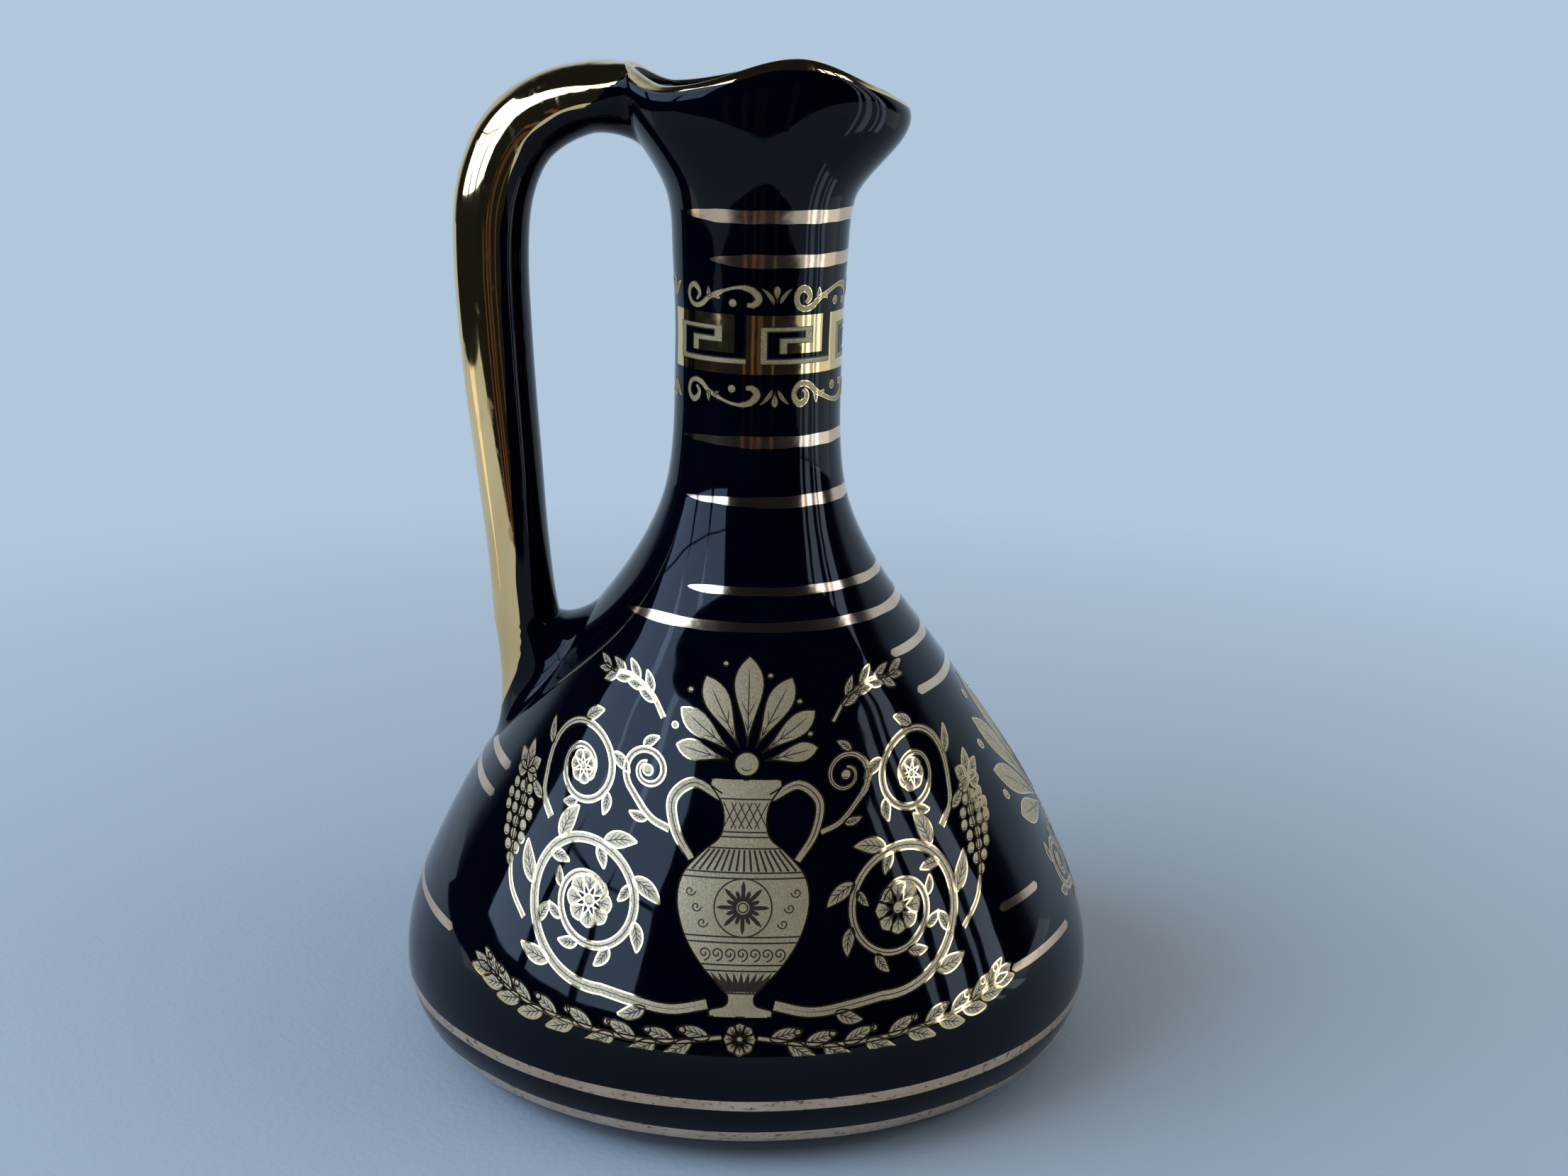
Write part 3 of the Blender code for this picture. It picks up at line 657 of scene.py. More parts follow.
def over_neck(x, height, lift):
    """Place artwork given in millimetres round the neck and heights."""
    return on_outside(x / NECK_DEGREE, height, lift)


def make_key_band(bright_gold, matte_gold, etch):
    bright, matte, lines = Sheet(), Sheet(), Sheet()
    bevels = list(zip(BEVEL_OUTER, BEVEL_INNER, BEVEL_INNER[1:], BEVEL_OUTER[1:])) + [BASE_BEVEL]
    for unit_number in range(KEY_UNITS):
        start = np.array((KEY_START + KEY_PITCH * unit_number, 0.0))
        for low, high in KEY_BRIGHT:
            corners = [np.array(p) + start for p in (low, (high[0], low[1]), high, (low[0], high[1]))]
            bright.quad(corners, max(1, int((high[0] - low[0]) / KEY_STEP)), 2)
        for bevel in bevels:
            corners = [np.array(p) + start for p in bevel]
            spread = max(abs(corners[3][0] - corners[0][0]), abs(corners[2][0] - corners[1][0]))
            steps = max(2, int(spread / KEY_STEP))
            matte.quad(corners, 2, steps)
            for k, other in ((0, 3), (1, 2)):
                path = np.linspace(corners[k], corners[other], steps + 1)
                lines.ribbon(path * (NECK_DEGREE, 1.0), ETCH_WIDTH)
    make_film("gold_key_bright", bright, on_outside, EDGE_TOP, bright_gold, ["greek_key_band"])
    make_film("gold_key_matte", matte, on_outside, FILM_TOP, matte_gold)
    make_film("etched_key_lines", lines, over_neck, ETCH_TOP, etch)


# Printed ornament: matte fills with bright outlines and dark etched lines

OUTLINE_WIDTH = 0.24
VEIN_WIDTH = 0.16
BAND_LINE_WIDTH = 0.22
PALMETTE_PETALS = 7
PALMETTE_SPREAD = 78.0
PETAL_START = 2.6
PETAL_FILL = 0.8
PETAL_WIDEST = 0.68
SIDE_PETAL_SHORTENING = 0.42


def curve(points, steps):
    """A smooth path through a few chosen points."""
    points = np.asarray(points, float)
    points = np.concatenate((2.0 * points[:1] - points[1:2], points, 2.0 * points[-1:] - points[-2:-1]))
    last = len(points) - 2
    return through(points, np.linspace(1.0, last, (last - 1) * steps + 1))


def spiral(centre, first_radius, last_radius, first_angle, turns, steps):
    """A scroll winding inwards; a negative number of turns winds clockwise."""
    share = np.linspace(0.0, 1.0, steps)
    radius = first_radius + (last_radius - first_radius) * share ** 0.8
    return np.asarray(centre) + radius[:, None] * unit(first_angle + 360.0 * turns * share)


def scroll_path(lead, lead_steps, *winding):
    """A stem through the lead's points that runs into a spiral."""
    return np.concatenate((curve(lead, lead_steps), spiral(*winding)[1:]))


class Print:
    """A printed picture in millimetres: matte fills, bright outlines and etched lines."""

    def __init__(self, outline=OUTLINE_WIDTH, vein=VEIN_WIDTH):
        self.matte, self.bright, self.etch = Sheet(), Sheet(), Sheet()
        self.outline = outline
        self.vein = vein

    def mirror(self):
        for sheet in (self.matte, self.bright, self.etch):
            sheet.mirror()

    def between(self, left, right, across=4):
        """A filled shape between two edges, outlined along both."""
        share = np.linspace(0.0, 1.0, across + 1)[None, :, None]
        self.matte.grid(left[:, None] + (right - left)[:, None] * share)
        self.bright.ribbon(left, self.outline)
        self.bright.ribbon(right, self.outline)

    def stroke(self, path, widths, vein=True):
        """A brush stroke whose width follows the given values along its path."""
        along = np.linspace(0.0, 1.0, len(path))
        half = np.interp(along, np.linspace(0.0, 1.0, len(widths)), widths) / 2.0
        _, side = sides_of(path)
        self.between(path + side * half[:, None], path - side * half[:, None], 2)
        if vein:
            self.etch.ribbon(path[2:-2], self.vein, 0.2, 0.2)

    def leaf(self, base, angle, length, width, bend=0.0, fullness=0.42, veins=3):
        """A pointed leaf; fullness is where along its length it is widest, bend how far its tip turns."""
        t = np.linspace(0.0, 1.0, 13)
        step = length * np.diff(t, prepend=0.0)
        spine = np.asarray(base) + np.cumsum(unit(angle + bend * t) * step[:, None], axis=0)
        swell = t ** (math.log(0.5) / math.log(fullness))
        half = width / 2.0 * np.sin(np.pi * swell) ** 0.85 + 0.02
        along, side = sides_of(spine)
        self.between(spine + side * half[:, None], spine - side * half[:, None])
        self.etch.ribbon(spine[1:-2], self.vein, 1.0, 0.2)
        for row in range(3, 3 + 2 * veins, 2):
            for hand in (-1.0, 1.0):
                tip = spine[row] + along[row] * half[row] * 0.7 + side[row] * half[row] * 0.72 * hand
                self.etch.ribbon(np.linspace(spine[row - 1], tip, 4), self.vein * 0.8, 1.0, 0.3)

    def leaf_on(self, stem, row, turn, length, width, bend, offset=0.0):
        """A leaf beside one point of a stem, turned from the stem's own direction."""
        along, side = sides_of(stem)
        self.leaf(stem[row] + side[row] * offset, heading(along[row]) + turn, length, width, bend)

    def petal(self, base, angle, length, width):
        self.leaf(base, angle, length, width, 0.0, PETAL_WIDEST, 2)

    def berry(self, centre, radius):
        self.matte.disc(centre, radius)
        rim = unit(np.linspace(0.0, 360.0, 25))
        self.bright.ribbon(np.asarray(centre) + rim * (radius - self.outline / 2.0), self.outline)
        self.etch.ribbon(np.asarray(centre) + rim[14:22] * radius * 0.5, self.vein, 0.2, 0.2)

    def rosette(self, centre, radius, petals):
        for turn in np.arange(petals) * 360.0 / petals:
            base = np.asarray(centre) + 0.28 * radius * unit(turn)
            self.petal(base, turn, radius * 0.74, radius * 5.4 / petals)
        self.berry(centre, radius * 0.27)

    def palmette(self, base, length):
        """A fan of petals round a boss, longest in the middle, with a dot between each two tips."""
        step = 2.0 * PALMETTE_SPREAD / (PALMETTE_PETALS - 1)
        for k in range(PALMETTE_PETALS):
            turn = 90.0 - PALMETTE_SPREAD + step * k
            size = length * (1.0 - SIDE_PETAL_SHORTENING * abs(turn - 90.0) / PALMETTE_SPREAD)
            room = math.radians(step) * (PETAL_START + PETAL_WIDEST * size)
            self.petal(np.asarray(base) + unit(turn) * PETAL_START, turn, size, PETAL_FILL * room)
            if k + 1 < PALMETTE_PETALS:
                reach = PETAL_START + 0.93 * size
                self.berry(np.asarray(base) + reach * unit(turn + step / 2.0), 0.035 * length + 0.1)
        self.berry(base, 0.72 * PETAL_START)

    def vessel(self, profile, bands, across, steps):
        """A turned form, from heights and half widths, with etched lines round it; returns its outline."""
        level, half = curve(profile, 5).T
        self.between(np.stack((-half, level), axis=1), np.stack((half, level), axis=1), across)
        for height in bands:
            reach = np.interp(height, level, half) - 0.15
            line = np.stack((np.linspace(-reach, reach, steps), np.full(steps, height)), axis=1)
            self.etch.ribbon(line, BAND_LINE_WIDTH)
        return level, half

    def lay(self, name, place, materials, nodes=()):
        """Lay the three sheets over the glaze; the matte fill stands for the given nodes."""
        matte, bright, etch = materials
        make_film(name + "_fill", self.matte, place, FILM_TOP, matte, nodes)
        make_film(name + "_lines", self.etch, place, ETCH_TOP, etch)
        make_film(name + "_outline", self.bright, place, EDGE_TOP, bright)


# Scroll borders above and below the key band, in millimetres round the neck and from the border's own height

BORDER_START = -53.7
BORDER_PITCH = 77.5
BORDER_UNITS = 4
BORDER_HEIGHT = 117.0
BORDER_MIRROR = 110.05
BORDER_STEM = (
    (2.0, -0.70), (2.62, 0.05), (2.35, 0.95), (1.45, 1.42), (0.62, 0.85), (0.38, -0.10), (0.85, -1.15),
    (1.95, -1.55), (3.20, -1.15), (4.35, -0.15), (5.80, 0.50), (7.50, 1.20), (9.20, 1.55), (10.60, 1.35),
    (11.70, 0.60), (11.95, -0.25), (11.30, -0.90), (10.35, -0.95),
)
BORDER_WIDTHS = (0.45, 0.75, 0.95, 0.85, 0.80, 0.75, 0.85, 0.75, 0.50, 0.55, 0.95, 1.10, 0.95, 0.70)
BORDER_OUTLINE = 0.13
BORDER_DOT = (8.2, -0.74)
BORDER_DOT_RADIUS = 0.68
# Palmettes of the border, in degrees from the start of a scroll, and the one before the first scroll
BORDER_PALMETTE = 66.08
BORDER_FIRST_PALMETTE = -72.5


def on_border(points, start, flip):
    """Places on the neck for points of the border that starts there; flip is -1 below the key band."""
    points = np.asarray(points, float)
    height = BORDER_HEIGHT + points[..., 1]
    if flip < 0:
        height = 2.0 * BORDER_MIRROR - height
    return np.stack((points[..., 0] + start * NECK_DEGREE, height), axis=-1)


def border_scroll(art, start, flip):
    art.stroke(on_border(curve(BORDER_STEM, 5), start, flip), BORDER_WIDTHS, vein=False)
    art.berry(on_border(BORDER_DOT, start, flip), BORDER_DOT_RADIUS)
    art.leaf(on_border((4.35, -0.2), start, flip), 90.0 * flip, 1.65, 0.75, 6.0, 0.3, 0)
    art.leaf(on_border((5.3, 0.3), start, flip), -28.0 * flip, 1.0, 0.5, 0.0, 0.3, 0)


def border_palmette(art, middle, flip):
    art.leaf(on_border((0.0, -0.6), middle, flip), 90.0 * flip, 2.5, 0.95, 0.0, 0.7, 0)
    for hand in (-1.0, 1.0):
        base = on_border((0.45 * hand, -0.75), middle, flip)
        art.leaf(base, (90.0 - 18.0 * hand) * flip, 2.9, 0.62, -38.0 * hand * flip, 0.4, 0)


def make_borders(materials):
    art = Print(BORDER_OUTLINE, 0.1)
    for flip in (1.0, -1.0):
        border_palmette(art, BORDER_FIRST_PALMETTE, flip)
        for unit_number in range(BORDER_UNITS):
            start = BORDER_START + BORDER_PITCH * unit_number
            border_scroll(art, start, flip)
            border_palmette(art, start + BORDER_PALMETTE, flip)
    art.lay("neck_border", over_neck, materials)


# Side panels and the ornament under the pouring end, in millimetres across and up the slant of the belly

PANEL_LOW = 19.0
SLANT_HEIGHTS = np.linspace(PANEL_LOW, 80.0, 400)
SLANT_LENGTHS = np.concatenate((
    [0.0],
    np.cumsum(np.hypot(np.diff(SLANT_HEIGHTS), np.diff(outer_radius(SLANT_HEIGHTS)))),
))
# Height on the slant and half width of the vase, heights of the lines round it and the middle of its star
VASE = (
    (5.4, 4.3), (6.3, 4.2), (6.9, 2.2), (8.0, 1.8), (9.2, 2.6), (12.0, 5.4), (16.0, 8.0), (20.5, 9.2),
    (24.5, 8.5), (27.8, 5.8), (29.8, 3.6), (32.0, 3.0), (34.5, 3.3), (36.4, 4.4), (37.2, 5.0), (38.2, 4.9),
)
VASE_BANDS = (8.6, 11.6, 12.4, 15.4, 16.2, 24.2, 25.0, 28.4, 30.0, 30.7, 35.4)
VASE_STAR = np.array((0.0, 20.2))
# The bud that carries the ornament, in the same measures
BUD = ((8.0, 0.1), (11.0, 1.6), (13.5, 2.0), (16.0, 1.4), (17.8, 1.6))
BUD_BANDS = (10.4, 12.0, 14.9, 16.4)
PALMETTE_RISE = 2.3
VASE_PALMETTE_LENGTH = 13.5
BUD_PALMETTE_LENGTH = 22.0
# Middles of the scrolls
LARGE_SCROLL = (22.5, 18.6)
SMALL_SCROLL = (25.6, 36.6)
CURL = (14.4, 38.3)
VOLUTE = (8.2, 12.5)


def on_slant(middle):
    """The function that places artwork on the slant of the belly, about a middle angle."""

    def place(x, length, lift):
        height = np.interp(length, SLANT_LENGTHS, SLANT_HEIGHTS)
        return on_outside(middle + np.degrees(x / outer_radius(height)), height, lift)

    return place


def add_leaves(art, path, leaves, turn, bend, offset):
    """Leaves along one side of a stem; each is (share of the path, length, width)."""
    for share, length, width in leaves:
        art.leaf_on(path, int(share * (len(path) - 1)), turn, length, width, bend, offset)


def add_scroll(art, path, widths, leaves):
    """A scrolling stem with leaves on its outer side."""
    art.stroke(path, widths)
    add_leaves(art, path, leaves, -46.0, 34.0, -0.4)


def add_flutes(art, outline, heights, count, spacing, width, end=1.0):
    """Etched lines that fan up the vase through three heights."""
    for k in range(-count, count + 1):
        foot, top = np.interp((heights[0], heights[-1]), *outline) * k / spacing
        art.etch.ribbon(np.stack(((foot, (foot + top) / 2.0, top), heights), axis=1), width, 1.0, end)


def draw_vase(art):
    level, half = outline = art.vessel(VASE, VASE_BANDS, 10, 17)
    for end in (0, -1):
        edge = [(x, level[end]) for x in (-half[end], 0.0, half[end])]
        art.bright.ribbon(edge, art.outline)
    add_flutes(art, outline, (8.8, 10.0, 11.4), 4, 4.6, 0.75, 0.05)
    add_flutes(art, outline, (25.2, 26.7, 28.2), 7, 7.8, 0.3)
    for k in range(-3, 4):
        art.etch.ribbon(spiral((k * 1.72, 13.9), 1.0, 0.15, -90.0, 1.4, 24), 0.2)
    for k in range(16):
        reach = 3.7 if k % 2 == 0 else 2.5
        art.etch.ribbon(VASE_STAR + unit(22.5 * k) * np.linspace(0.9, reach, 5)[:, None], 0.55, 1.0, 0.05)
    for radius in (0.65, 4.0):
        art.etch.ribbon(VASE_STAR + radius * unit(np.linspace(0.0, 360.0, 33)), 0.2)
    for hand in (-1.0, 1.0):
        for k in range(3):
            centre = (hand * (5.6 + 0.9 * k), 18.0 + 2.1 * k)
            art.etch.ribbon(spiral(centre, 0.8, 0.15, 180.0 if hand > 0 else 0.0, 1.2 * hand, 20), 0.18)
    for k in range(-2, 3):
        for lean in (0.9, -0.9):
            art.etch.ribbon([(k * 1.1 - lean, 31.2), (k * 1.1, 33.0), (k * 1.1 + lean, 34.9)], 0.16)


def draw_garland(art):
    stem = curve(((2.5, 2.6), (12.5, 1.3), (25.0, 1.8), (34.0, 3.0), (40.0, 4.9)), 12)
    art.stroke(stem, (0.7, 0.6, 0.35), vein=False)
    along, side = sides_of(stem)
    hand = 1.0
    for row in range(2, len(stem), 3):
        art.leaf_on(stem, row, 30.0 * hand, 4.8, 1.9, -14.0 * hand)
        if hand < 0.0:
            art.berry(stem[row] + side[row] * 1.5 + along[row] * 1.2, 0.62)
        hand = -hand
    art.leaf(stem[-2], heading(along[-1]), 4.6, 1.8)


def draw_scrolls(art):
    lead = ((4.6, 7.0), (10.0, 5.9), (16.5, 6.6))
    large = scroll_path(lead, 8, LARGE_SCROLL, 12.0, 2.9, -108.0, 1.72, 110)
    leaves = (
        (0.10, 4.4, 1.9), (0.20, 5.6, 2.3), (0.28, 6.0, 2.5), (0.355, 6.0, 2.5), (0.425, 5.4, 2.3),
        (0.49, 5.2, 2.2), (0.555, 4.2, 1.8), (0.62, 3.6, 1.6), (0.68, 3.4, 1.5), (0.74, 3.0, 1.4),
        (0.80, 2.8, 1.3),
    )
    add_scroll(art, large, (1.5, 1.4, 1.2, 0.9, 0.6), leaves)
    inner = ((0.24, 3.6, 1.6), (0.33, 3.6, 1.6), (0.42, 3.4, 1.5), (0.50, 3.0, 1.3))
    add_leaves(art, large, inner, 40.0, 30.0, 0.4)
    art.rosette(LARGE_SCROLL, 3.6, 8)
    lead = ((30.8, 28.2), (33.0, 31.0), (33.2, 35.0))
    small = scroll_path(lead, 6, SMALL_SCROLL, 7.6, 1.9, -6.0, 1.62, 80)
    leaves = (
        (0.06, 4.0, 1.8), (0.16, 4.2, 1.8), (0.27, 4.2, 1.8), (0.37, 4.0, 1.7), (0.46, 3.4, 1.5),
        (0.55, 2.8, 1.3),
    )
    add_scroll(art, small, (1.1, 1.0, 0.8, 0.5), leaves)
    art.rosette(SMALL_SCROLL, 2.4, 7)
    lead = ((10.7, 30.4), (13.8, 31.8), (17.2, 35.6))
    curl = scroll_path(lead, 6, CURL, 3.9, 1.1, -44.0, 1.35, 50)
    add_scroll(art, curl, (0.9, 0.8, 0.5), ((0.10, 3.0, 1.3), (0.40, 3.0, 1.3)))
    art.berry(CURL, 0.9)


def draw_grapes(art):
    stem = curve(((34.0, 13.6), (37.5, 17.5), (38.5, 24.0), (37.6, 29.5), (38.2, 31.6)), 6)
    art.stroke(stem, (0.7, 0.5), vein=False)
    for row, count in enumerate((3, 4, 4, 3, 3, 2, 1)):
        for k in range(count):
            art.berry((38.6 + (k - (count - 1) / 2.0) * 1.92, 30.4 - 1.66 * row), 0.96)
    for turn, length in ((90.0, 4.6), (38.0, 4.0), (142.0, 4.0), (-6.0, 3.0), (186.0, 3.0)):
        art.leaf((38.4, 32.6), turn, length, 2.3, 0.0, 0.5)


def draw_sprig(art):
    stem = curve(((12.4, 46.2), (14.6, 49.4), (18.2, 51.4), (22.6, 51.4)), 9)
    art.stroke(stem, (0.7, 0.4), vein=False)
    hand = -1.0
    for row in range(6, len(stem), 3):
        art.leaf_on(stem, row, 38.0 * hand, 3.5, 1.4, -16.0 * hand)
        hand = -hand
    art.leaf(stem[-1], -8.0, 3.0, 1.2)


def draw_panel():
    """A vase under a palmette, between scrolling leaves, grapes and sprigs over a garland."""
    art = Print()
    draw_garland(art)
    draw_scrolls(art)
    draw_grapes(art)
    draw_sprig(art)
    handle = curve(((3.6, 35.6), (7.4, 37.4), (10.4, 34.8), (9.8, 30.4), (7.4, 26.6)), 7)
    art.stroke(handle, (1.2, 1.5, 1.3, 1.1))
    art.mirror()
    draw_vase(art)
    art.palmette((0.0, VASE[-1][0] + PALMETTE_RISE), VASE_PALMETTE_LENGTH)
    art.rosette((0.0, 2.4), 2.2, 8)
    return art


def draw_ornament():
    """A palmette on a bud between two volutes, for the side under the pouring end."""
    art = Print()
    lead = ((0.9, 8.8), (3.0, 6.9), (7.2, 7.9))
    volute = scroll_path(lead, 6, VOLUTE, 4.7, 1.3, -102.0, 1.5, 60)
    leaves = ((0.10, 3.4, 1.5), (0.24, 3.8, 1.6), (0.36, 3.6, 1.6), (0.48, 2.6, 1.2), (0.58, 2.2, 1.0))
    add_scroll(art, volute, (1.3, 1.1, 0.6), leaves)
    art.berry(VOLUTE, 1.1)
    art.leaf((0.6, 7.8), -52.0, 4.6, 1.7, 26.0)
    art.mirror()
    art.vessel(BUD, BUD_BANDS, 4, 9)
    art.leaf((0.0, 7.9), -90.0, 4.6, 2.0)
    art.palmette((0.0, BUD[-1][0] + PALMETTE_RISE), BUD_PALMETTE_LENGTH)
    return art


def make_panels(materials):
    art = draw_panel()
    art.lay("panel_front", on_slant(0.0), materials, ["side_panel_front"])
    art.lay("panel_rear", on_slant(180.0), materials, ["side_panel_rear"])
    draw_ornament().lay("ornament", on_slant(POURING_ANGLE), materials, ["pouring_side_ornament"])


# Materials

PLAIN = (1.0, 1.0, 1.0)
PRINT_TONES = ((0.40, 0.30, 0.155), (0.58, 0.445, 0.26), (0.70, 0.55, 0.345))


def feed(tree, socket, value):
    """Give a socket a number, a colour or another node's output."""
    if isinstance(value, bpy.types.NodeSocket):
        tree.links.new(value, socket)
    elif socket.type == "RGBA":
        socket.default_value = (*value, 1.0)
    else:
        socket.default_value = value


def add_node(tree, kind, inputs=None, **settings):
    node = tree.nodes.new("ShaderNode" + kind)
    for name, value in settings.items():
        setattr(node, name, value)
    for name, value in (inputs or {}).items():
        feed(tree, node.inputs[name], value)
    return node


def add_noise(tree, scale, detail=2.0, stretch=PLAIN):
    """Noise over the object's own space; the scale counts grains to the metre."""
    place = add_node(tree, "TexCoord")
    mapping = add_node(tree, "Mapping", {"Vector": place.outputs["Object"], "Scale": stretch})
    noise = {"Vector": mapping.outputs["Vector"], "Scale": scale, "Detail": detail}
    return add_node(tree, "TexNoise", noise).outputs["Fac"]


def remap(tree, value, low, high, to_low=0.0, to_high=1.0):
    ends = {"Value": value, "From Min": low, "From Max": high, "To Min": to_low, "To Max": to_high}
    return add_node(tree, "MapRange", ends).outputs["Result"]


def blend(tree, share, first, second):
    """Mix two colours; each is a colour or another node's output."""
    return add_node(tree, "Mix", {"Factor": share, 6: first, 7: second}, data_type="RGBA").outputs[2]


def add_bump(tree, height, strength, distance):
    bump = {"Height": height, "Strength": strength, "Distance": distance}
    return add_node(tree, "Bump", bump).outputs["Normal"]


def mix_shaders(tree, share, first, second):
    mix = add_node(tree, "MixShader", {"Fac": share, 1: first.outputs[0], 2: second.outputs[0]})
    feed(tree, tree.nodes["Material Output"].inputs["Surface"], mix.outputs[0])


def new_material(name):
    material = bpy.data.materials.new(name)
    material.use_nodes = True
    return material, material.node_tree


def set_shader(tree, inputs):
    shader = tree.nodes["Principled BSDF"]
    for name, value in inputs.items():
        feed(tree, shader.inputs[name], value)
    return shader


def glaze_material(name):
    """Deep blue-black glaze, poured and slightly rippled."""
    material, tree = new_material(name)
    pooling = remap(tree, add_noise(tree, 70.0, 3.0), 0.3, 0.7)
    set_shader(tree, {
        "Base Color": blend(tree, pooling, (0.0002, 0.0005, 0.0022), (0.0006, 0.0011, 0.0036)),
        "Roughness": remap(tree, add_noise(tree, 420.0, 4.0), 0.3, 0.8, 0.025, 0.075),
        "IOR": 1.5,
        "Specular IOR Level": 0.19,
        "Normal": add_bump(tree, add_noise(tree, 110.0, 1.0), 0.12, 0.0006),
    })
    return material


def gold_material(name, light, deep, roughness, ripple, stretch=PLAIN, scuffs=0.0):
    """Burnished fired gold with a soft change of tone, the ripple of the brush and fine scuffs."""
    material, tree = new_material(name)
    tone = remap(tree, add_noise(tree, 160.0, 4.0, stretch), 0.35, 0.65)
    grain = remap(tree, add_noise(tree, 900.0, 3.0, stretch), 0.3, 0.7, roughness * 0.7, roughness * 1.4)
    worn = remap(tree, add_noise(tree, 520.0, 8.0, (1.0, 1.0, 0.4)), 0.60, 0.68, 0.0, scuffs)
    set_shader(tree, {
        "Base Color": blend(tree, tone, deep, light),
        "Metallic": 1.0,
        "Roughness": add_node(tree, "Math", {0: grain, 1: worn}).outputs[0],
        "Normal": add_bump(tree, add_noise(tree, 240.0, 2.0, stretch), ripple, 0.0005),
    })
    return material


def line_material(name, wear):
    """Thin rose gold of the banding lines, with brown stains where the noise rises over the wear value."""
    material, tree = new_material(name)
    stain = remap(tree, add_noise(tree, 900.0, 5.0, (1.0, 1.0, 2.0)), wear, wear + 0.16)
    tone = remap(tree, add_noise(tree, 120.0, 3.0), 0.35, 0.65)
    clean = blend(tree, tone, (0.74, 0.49, 0.31), (0.86, 0.63, 0.43))
    set_shader(tree, {
        "Base Color": blend(tree, stain, clean, (0.12, 0.06, 0.03)),
        "Metallic": 1.0,
        "Roughness": remap(tree, stain, 0.0, 1.0, 0.12, 0.40),
        "Normal": add_bump(tree, add_noise(tree, 300.0, 2.0), 0.10, 0.0004),
    })
    return material


def print_material(name, shade=PLAIN):
    """Pale matte gold of the printed fills, with the fine grain of the print."""
    material, tree = new_material(name)
    deep, middle, light = [tuple(np.multiply(tone, shade)) for tone in PRINT_TONES]
    grain = remap(tree, add_noise(tree, 4200.0, 2.0), 0.35, 0.65)
    tone = remap(tree, add_noise(tree, 260.0, 3.0), 0.3, 0.7)
    set_shader(tree, {
        "Base Color": blend(tree, grain, deep, blend(tree, tone, middle, light)),
        "Metallic": 0.6,
        "Roughness": remap(tree, grain, 0.0, 1.0, 0.50, 0.36),
        "Normal": add_bump(tree, add_noise(tree, 4200.0, 2.0), 0.10, 0.0001),
    })
    return material


def etch_material():
    """Dark brown of the lines left bare in the print."""
    material, tree = new_material("print_etch")
    tone = blend(tree, add_noise(tree, 1500.0), (0.016, 0.010, 0.006), (0.040, 0.026, 0.014))
    set_shader(tree, {"Base Color": tone, "Roughness": 0.35})
    return material


# Studio

FLOOR_COLOUR = (0.36, 0.405, 0.438)
FLOOR_GRAIN = 1.04
FLOOR_RADIUS = 8.0
FLOOR_SIDES = 96
# Between these distances from the jug the lit floor passes into the glowing background colour: painted light
FLOOR_FADE_START = 0.075
FLOOR_FADE_END = 0.36
BACKGROUND = (0.445, 0.571, 0.716)
AMBIENT = (0.46, 0.48, 0.50)
LIGHT_AIM = (0.0, 0.0, 0.07)
# Windows by azimuth and width; those at the left have two panes, given by elevation
WINDOW_DISTANCE = 1.3
LEFT_LIGHT = (2.15, 3.05, 4.6)
LEFT_WINDOWS = ((-88.0, 0.42), (-66.0, 0.42), (-44.5, 0.40))
LEFT_PANES = (("low", 18.5), ("high", 39.5))
LEFT_PANE_HEIGHT = 0.46
RIGHT_LIGHT = (2.2, 2.65, 3.35)
RIGHT_WINDOWS = ((63.0, 0.07), (72.0, 0.16), (82.0, 0.05), (90.0, 0.16))
RIGHT_ELEVATION = 20.0
RIGHT_HEIGHT = 1.0
# Azimuth, elevation, distance, width, height and radiance
SOFT_LIGHT = (-58.0, 42.0, 1.5, 1.0, 1.0, (1.0, 1.0, 1.0))
# Painted reflections of the unlit room in front of the table and its ceiling: faintly glowing dark sheets
# which only reflections show
ROOM_RADIUS = 1.6
ROOM_COLOUR = (0.010, 0.012, 0.016)
ROOM_LEFT = (-134.0, -122.0)
ROOM_RIGHT = (118.0, 108.0)
ROOM_CEILING = (30.0, 44.0)
ROOM_LOWEST = -6.0
TABLE_FRONT = -0.32
TABLE_LEFT = -0.45
GROUND_RISE = 0.002
# Glowing bands that lie along the floor and only show in reflections, all painted reflections: a gleam at
# the left that starts in a point, warm bands on the dark ground in front, the gleam of the right windows and
# a broad sheen beside them; first and last azimuth, nearest and farthest distance, colour
POINTED_BANDS = 1
BAND_RISE = 0.004
# Colour of the painted reflections of the right windows
WINDOW_GLEAM = (1.7, 2.1, 2.7)
FLOOR_BANDS = (
    (-102.0, -82.0, 0.22, 0.45, (0.95, 0.97, 0.95)),
    (-20.0, -16.5, 0.33, 1.2, (0.100, 0.058, 0.044)),
    (-8.5, -5.0, 0.33, 1.2, (0.120, 0.066, 0.048)),
    (-1.0, 6.0, 0.33, 1.2, (0.065, 0.040, 0.032)),
    (19.0, 22.0, 0.33, 1.2, (0.090, 0.064, 0.050)),
    (61.5, 64.0, 0.22, 1.2, WINDOW_GLEAM),
    (68.5, 74.5, 0.22, 1.2, WINDOW_GLEAM),
    (80.5, 82.5, 0.22, 1.2, WINDOW_GLEAM),
    (86.5, 92.0, 0.22, 1.2, WINDOW_GLEAM),
    (93.0, 116.0, 0.30, 1.4, (0.75, 0.88, 1.0)),
)

CAMERA_PLACE = (0.004633, -0.322, 0.160034)
CAMERA_PITCH = 15.477
CAMERA_ROLL = 1.3294
CAMERA_LENS = 49.915
SENSOR_WIDTH = 36.0


